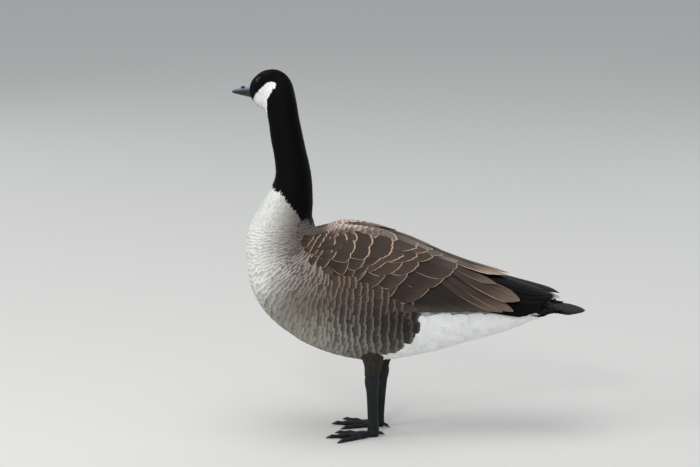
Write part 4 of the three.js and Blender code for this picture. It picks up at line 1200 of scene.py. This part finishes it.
def covert_groups(random):
    """Groups of a left wing's rows of coverts. Lengths and heights fall off where a row dips under
    the flank's plumage, and rows rise to fixed heights at their tips, so each lies over the next."""
    groups = []
    for k, (line, count, length, width, *down) in enumerate(WING_ROWS):
        line = np.array(line)
        share = (np.arange(count) + 0.5 + (k % 2 - 0.5) * 0.4 + random.normal(0, 0.06, count)) / count
        b = mix(line[0, 1], line[-1, 1], share)
        a = np.interp(b, line[:, 1], line[:, 0]) + random.normal(0, 0.003, count)
        down = np.radians(mix(*down, share)) + random.normal(0, 0.03, count)
        length = length * random.uniform(0.96, 1.04, count)
        length *= mix(np.clip(0.55 + k / 9, 0, 1), 1, smooth(b, 0, 0.4))
        length *= mix(1, np.interp(k, [0, 2, 9, 12], [0.65, 0.5, 0.45, 0.6]), smooth(share, 0.4, 0.95))
        below_top = smooth(b, 0.1, 0.45)
        level = mix(COVERT_ROOT_HEIGHTS[1][0], np.interp(k, *COVERT_ROOT_HEIGHTS), below_top)
        rise = (np.interp(k, *COVERT_TIP_HEIGHTS) - level) / length * mix(0.7, 1, below_top)
        tips = np.stack([a, b], -1)
        roots, turn = rooted(wing_frame, tips, down, length)
        rear_brown = COVERT_BROWN if k < 9 else REAR_COVERT_BROWN
        tone = tinted(np.full(count, np.clip(k / 8, 0, 1)), SCAPULAR_BROWN, rear_brown)
        pale = (1 - smooth(b, 0.05, 0.3)) * (0.3 if k > 2 else 0.1)
        tone = tinted(pale, tone, BACK_PALE) * random.uniform(0.88, 1.12, (count, 1))
        slant = row_slant(line, tips, facing(wing_frame, tips, down))
        widths = width * random.uniform(0.94, 1.06, count)
        groups.append({
            "vanes": vanes(wing_frame, roots, turn, length, widths, level, rise, COVERT_VANE, slant),
            "ground": tone, "fringe": tinted(pale, np.tile(TAN_FRINGE, (count, 1)), BACK_PALE),
            # The edge's third value sets the shaft line and the painted shade between stacked feathers.
            "edge": (1.3 / length.mean(), np.interp(k, [4, 9], [0.6, 1.6]) / width, 0.45),
            "unwrap": unwrapped(*roots.T, *WING_SHEET),
        })
    return groups


def wing_groups(seed, top_rise):
    """Groups of a left wing's coverts and of its long brown feathers."""
    random = np.random.default_rng(seed)
    groups = covert_groups(random)
    for table, tone, level, rise, tilt in (
            (SECONDARIES, SECONDARY_BROWN, 2.4, 0.035, 0.07), (TERTIALS, TERTIAL_BROWN, 2.4, 0.035, 0.12),
            (UPPER_TERTIALS, UPPER_TERTIAL_TAN, 3.0, top_rise, 0.03)):
        roots, turn, length, width = aimed(wing_frame, table)
        shape = dict(QUILL_VANE, tilt=tilt, outline=TERTIAL_OUTLINE)
        groups.append({
            "vanes": vanes(wing_frame, roots, turn, length, width, level, rise, shape),
            "ground": np.array(tone) * random.uniform(0.9, 1.08, (len(table), 1)),
            # The edge's third value sets the shaft line and the painted shade between stacked feathers.
            "fringe": np.array(tone) * 2.1, "edge": (0.015, 0.08, 0.65),
            "unwrap": unwrapped(*roots.T, *WING_SHEET),
        })
    return groups


def primary_group(table):
    """The black pointed feathers of a left wing's tip."""
    roots, turn, length, width = aimed(wing_frame, table)
    return {
        "vanes": vanes(wing_frame, roots, turn, length, width, PRIMARY_ROOT_HEIGHT, PRIMARY_RISE,
                       POINTED_VANE),
        "ground": PRIMARY_BLACK, "fringe": np.array(PRIMARY_BLACK) * 2.2, "edge": (0.01, 0.12, 0.4),
        "unwrap": unwrapped(*roots.T, *PRIMARY_SHEET),
    }


flight_finish = feather_finish("flight_feather", 0.42, 0.07)

# The right wing lies over the left at the back's middle line, with one primary fewer in sight.
for name, place, seed, top_rise, table in (
        ("left", lambda group: group, 32, 0.03, PRIMARIES), ("right", mirrored, 31, 0.045, PRIMARIES[1:])):
    coverts = feather_piece(f"wing_plumage_{name}", [place(group) for group in wing_groups(seed, top_rise)],
                            plumage_finish)
    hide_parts(f"wing_{name}")
    feather_piece(f"primaries_{name}", [place(primary_group(table))], flight_finish)


# Tail
# A short fan of black feathers behind the rump, the middle pair on top, with the white
# feathers of rump and vent laid over and under their roots.
TAIL_ROOT_X, TAIL_ROOT_Z, TAIL_TIP_X, TAIL_TIP_Z = 226, 243.5, 324, 229.5
TAIL_COUNT, TAIL_SPACING, TAIL_WIDTH, TAIL_SHORTEN = 6, 6, 23, 26
TAIL_SPREAD, TAIL_ARCH, TAIL_HEIGHT = math.radians(3), 0.0008, 1.2
TAIL_LENGTH = math.hypot(TAIL_TIP_X - TAIL_ROOT_X, TAIL_TIP_Z - TAIL_ROOT_Z)
TAIL_SLOPE = math.atan2(TAIL_TIP_Z - TAIL_ROOT_Z, TAIL_TIP_X - TAIL_ROOT_X)


def tail_frame(y, x):
    """Sheet of the tail: y back along its slope, x across, arched down by the arch times x^2."""
    z = TAIL_ROOT_Z + y * math.sin(TAIL_SLOPE) - TAIL_ARCH * x * x
    return np.stack([TAIL_ROOT_X + y * math.cos(TAIL_SLOPE), -x, z], -1)


def tail_group():
    """The fan's left half, from the middle pair outward, each feather under the one before."""
    i = np.arange(TAIL_COUNT) + 0.5
    roots = np.stack([np.zeros(TAIL_COUNT), i * TAIL_SPACING], -1)
    length = TAIL_LENGTH - TAIL_SHORTEN * (i / TAIL_COUNT) ** 2
    shape = dict(QUILL_VANE, tilt=-0.1, outline=BROAD_OUTLINE)
    return {
        "vanes": vanes(tail_frame, roots, TAIL_SPREAD * i / TAIL_COUNT, length, TAIL_WIDTH, TAIL_HEIGHT,
                       0.0, shape),
        "ground": PRIMARY_BLACK, "fringe": np.array(PRIMARY_BLACK) * 1.8, "edge": (0.01, 0.05, 0.3),
        "unwrap": unwrapped(i, i, (0, TAIL_COUNT), (-TAIL_COUNT, TAIL_COUNT)),
    }


half = tail_group()
other = mirrored(half)
other["unwrap"] = other["unwrap"] * (1, -1) + (0, 1)
tail = feather_piece("tail_feathers", [half, other], flight_finish)
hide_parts("tail")


# Thighs
# The short dark trousers of small soft feathers between the belly and the bare shank, one of
# them on each leg, laid down and round it.
THIGH_VANE = dict(ROW_VANE, bend=0.3, columns=5)
THIGH_ROOTS = ((0.3, THIGH_LAST), (0, 2 * math.pi))
THIGH_SPACING = 3.4

for name in THIGH_ROWS:
    surface = thigh_surface(name)
    roots = scatter(surface, *THIGH_ROOTS, THIGH_SPACING, 41)
    random = np.random.default_rng(42)
    length = np.interp(roots[:, 0], [0, 3], [15, 8]) * random.uniform(0.85, 1.15, len(roots))
    colour = np.array(THIGH_BROWN) * random.uniform(0.75, 1.2, (len(roots), 1))
    turn = random.normal(0, 0.12, len(roots))
    feather_piece(f"thigh_plumage_{name}", [{
        "vanes": vanes(surface, roots, turn, length, length * 0.6, 0.5, 2.0 / length, THIGH_VANE),
        "ground": colour, "fringe": colour * 1.5, "edge": (0.18, 0.1, 0.0),
        "unwrap": unwrapped(*roots.T, *THIGH_ROOTS),
    }], plumage_finish)


# Legs and feet
# Bare black legs of scaly skin: an upright shank with a knobbed heel, three long toes joined
# by webs, a small hind toe off the ground, and a short blunt claw on each toe.
LEG_FEET = {"left": (-69, -44, -66, -35), "right": (-49, 44, -56, 35)}
HOCK, ANKLE = 104, 12
SHANK_ROWS = np.array([
    (119, 11.5, 8.6), (110, 13, 9.2), (100, 12.6, 8.8), (86, 10.6, 7), (53, 9.8, 6.2), (26, 10, 6.6),
    (12, 10.8, 7.4), (7, 11, 8.2), (1, 9.6, 7.4),
], float)
TOES = ((27, 68, 4.6), (0, 82, 5.2), (-27, 76, 4.6))
TOE_OUT = math.radians(9)
HIND_ANGLE, HIND_LENGTH, HIND_RADIUS, HIND_HEIGHT = 162, 20, 3.2, 9
WEB_HEIGHT, WEB_HALF, WEB_REACH, WEB_SCALLOP = 2.0, 0.8, 0.93, 0.2
CLAW_LENGTH, CLAW_RADIUS, CLAW_OVERLAP = 9, 3.0, 2.5
HIND_CLAW_LENGTH, HIND_CLAW_RADIUS, HIND_CLAW_OVERLAP, HIND_CLAW_HEIGHT = 6, 2.0, 1.5, 3.4
SOLE = 0.15
SHANK_RINGS, SHANK_COLUMNS = 90, 40
TOE_RINGS, HIND_RINGS, CLAW_RINGS = 60, 24, 20
BAR_COLUMNS, CLAW_COLUMNS = 24, 20
WEB_COLUMNS, WEB_ROWS = 40, 36

leg_finish = Finish("scaly_leg", {"Specular IOR Level": 0.3})
where = leg_finish.where()
scales = {"Vector": leg_finish.stretch(where, (330.0, 330.0, 420.0)), "Scale": 1.0}
cells = leg_finish.node("ShaderNodeTexVoronoi", scales, feature="DISTANCE_TO_EDGE")
groove = leg_finish.between(cells, 0.02, 0.16)
cloud = leg_finish.noise(where, 60.0, 4.0)
skin_tone = leg_finish.blend(leg_finish.between(cloud, 0.4, 0.7), opaque(15, 17, 19), opaque(31, 36, 42))
leg_finish.set("Base Color", leg_finish.blend(groove, opaque(11, 12, 13), skin_tone))
leg_finish.set("Roughness", 0.62 - groove * 0.2)
leg_finish.bump(groove, 0.0005, 0.6)
claw_finish = Finish("claw_horn", {"Roughness": 0.35})
claw_grain = claw_finish.noise(claw_finish.where(), 300.0)
claw_finish.set("Base Color", claw_finish.blend(claw_grain, opaque(14, 14, 15), opaque(40, 39, 38)))


def foot_place(name, angle, distance, height):
    """Place on a foot's plan: distance from the ankle at an angle off its own line."""
    _, _, ankle, side = LEG_FEET[name]
    outer = np.sign(side)
    turn = outer * (TOE_OUT - np.radians(angle))
    x, y = ankle - distance * np.cos(turn), side + distance * np.sin(turn)
    return np.stack(np.broadcast_arrays(x, y, height), -1)


def bar(points, radii, columns=BAR_COLUMNS):
    """Round bar along the points with level cross axes, its lowest side flat on the sole's plane."""
    ahead = np.gradient(points, axis=0)
    across = np.cross([0, 0, 1], ahead)
    across = across / np.linalg.norm(across, axis=-1, keepdims=True)
    turn = circle(columns)
    rings = points[:, None] + across[:, None] * (radii[:, None] * np.cos(turn))[..., None]
    rings[..., 2] += radii[:, None] * np.sin(turn)
    rings[..., 2] = np.maximum(rings[..., 2], SOLE)
    return rings


def blunted(t):
    """Factor that rounds a toe off at its far end."""
    return np.sqrt(np.clip((1.02 - t) * 14, 0, 1))


def shank_rings(name):
    """Oval rings from the trousers to the sole, about a line from heel to ankle."""
    heel, heel_side, ankle, side = LEG_FEET[name]
    row = along_rows(SHANK_ROWS, np.linspace(0, len(SHANK_ROWS) - 1.001, SHANK_RINGS))
    t = np.clip((HOCK - row[:, 0]) / (HOCK - ANKLE), 0, 1)
    turn = circle(SHANK_COLUMNS)
    x = mix(heel, ankle, t)[:, None] + row[:, 1:2] * np.cos(turn)
    y = mix(heel_side, side, t)[:, None] + row[:, 2:3] * np.sin(turn)
    return np.stack([x, y, np.broadcast_to(np.maximum(row[:, :1], SOLE), x.shape)], -1)


def toe_rings(name, angle, length, radius):
    """A toe's rings: thick at the ankle, thinner at the tip, with three joints' swellings."""
    t = np.linspace(0, 1, TOE_RINGS)
    thick = radius * mix(1.15, 0.72, t) * (1 + 0.1 * np.cos(t * 6 * math.pi)) * blunted(t)
    return bar(foot_place(name, angle, length * t, mix(7, thick * 0.82, smooth(t, 0, 0.35))), thick)


def hind_rings(name):
    """The hind toe's rings, from the back of the ankle down to just over the ground."""
    t = np.linspace(0, 1, HIND_RINGS)
    middle = foot_place(name, HIND_ANGLE, HIND_LENGTH * t, mix(HIND_HEIGHT, HIND_RADIUS + 0.6, t))
    return bar(middle, HIND_RADIUS * mix(1.3, 0.8, t) * blunted(t))


def web_sheet(name, first, second):
    """Sheet between two toes: p across, q from the ankle to a free edge that dips between them,
    sagging in the middle, with both faces as one closed tube of rings."""
    p, q = crossed(np.linspace(0, 1, WEB_COLUMNS), np.linspace(0, 1, WEB_ROWS))
    angle = mix(first[0], second[0], p)
    reach = mix(first[1], second[1], p) * WEB_REACH * (1 - WEB_SCALLOP * np.sin(math.pi * p) ** 0.8)
    wrinkle = 0.25 * np.sin(p * 40 + 3 * q) * q * np.sin(math.pi * p)
    middle = WEB_HEIGHT + wrinkle - 0.5 * np.sin(math.pi * p) * q
    half = WEB_HALF * np.sqrt(np.clip(1 - q ** 8, 0, 1)) + 0.05
    top = foot_place(name, angle, reach * q, middle + half)
    under = foot_place(name, angle, reach * q, np.maximum(middle - half, SOLE))
    return np.concatenate([top, under[:, ::-1]], 1)


def claw_rings(name, angle, start, length, radius, height):
    """A claw's rings: it carries on its toe's line and bends down to just above the sole."""
    t = np.linspace(0, 1, CLAW_RINGS)
    place = foot_place(name, angle, start + length * t, mix(height, 0.9, t ** 1.5))
    return bar(place, radius * mix(1, 0.16, t ** 1.3), CLAW_COLUMNS)


for name in LEG_FEET:
    shank = tube_piece(f"shank_scales_{name}", [shank_rings(name)], leg_finish)
    tubes = [toe_rings(name, *toe) for toe in TOES] + [hind_rings(name)]
    tubes += [web_sheet(name, first, second) for first, second in zip(TOES, TOES[1:])]
    foot = tube_piece(f"foot_skin_{name}", tubes, leg_finish)
    claws = [claw_rings(name, angle, length - CLAW_OVERLAP, CLAW_LENGTH, CLAW_RADIUS, radius * 0.62)
             for angle, length, radius in TOES]
    claws.append(claw_rings(name, HIND_ANGLE, HIND_LENGTH - HIND_CLAW_OVERLAP, HIND_CLAW_LENGTH,
                            HIND_CLAW_RADIUS, HIND_CLAW_HEIGHT))
    horn = tube_piece(f"claws_{name}", claws, claw_finish)
    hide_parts(f"shank_{name}")
    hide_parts(f"foot_{name}")
    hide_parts(*(f"claw_{name}_{k}" for k in (1, 2, 3, 4)))
    for piece in (shank, foot, horn):
        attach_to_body(piece, "root")
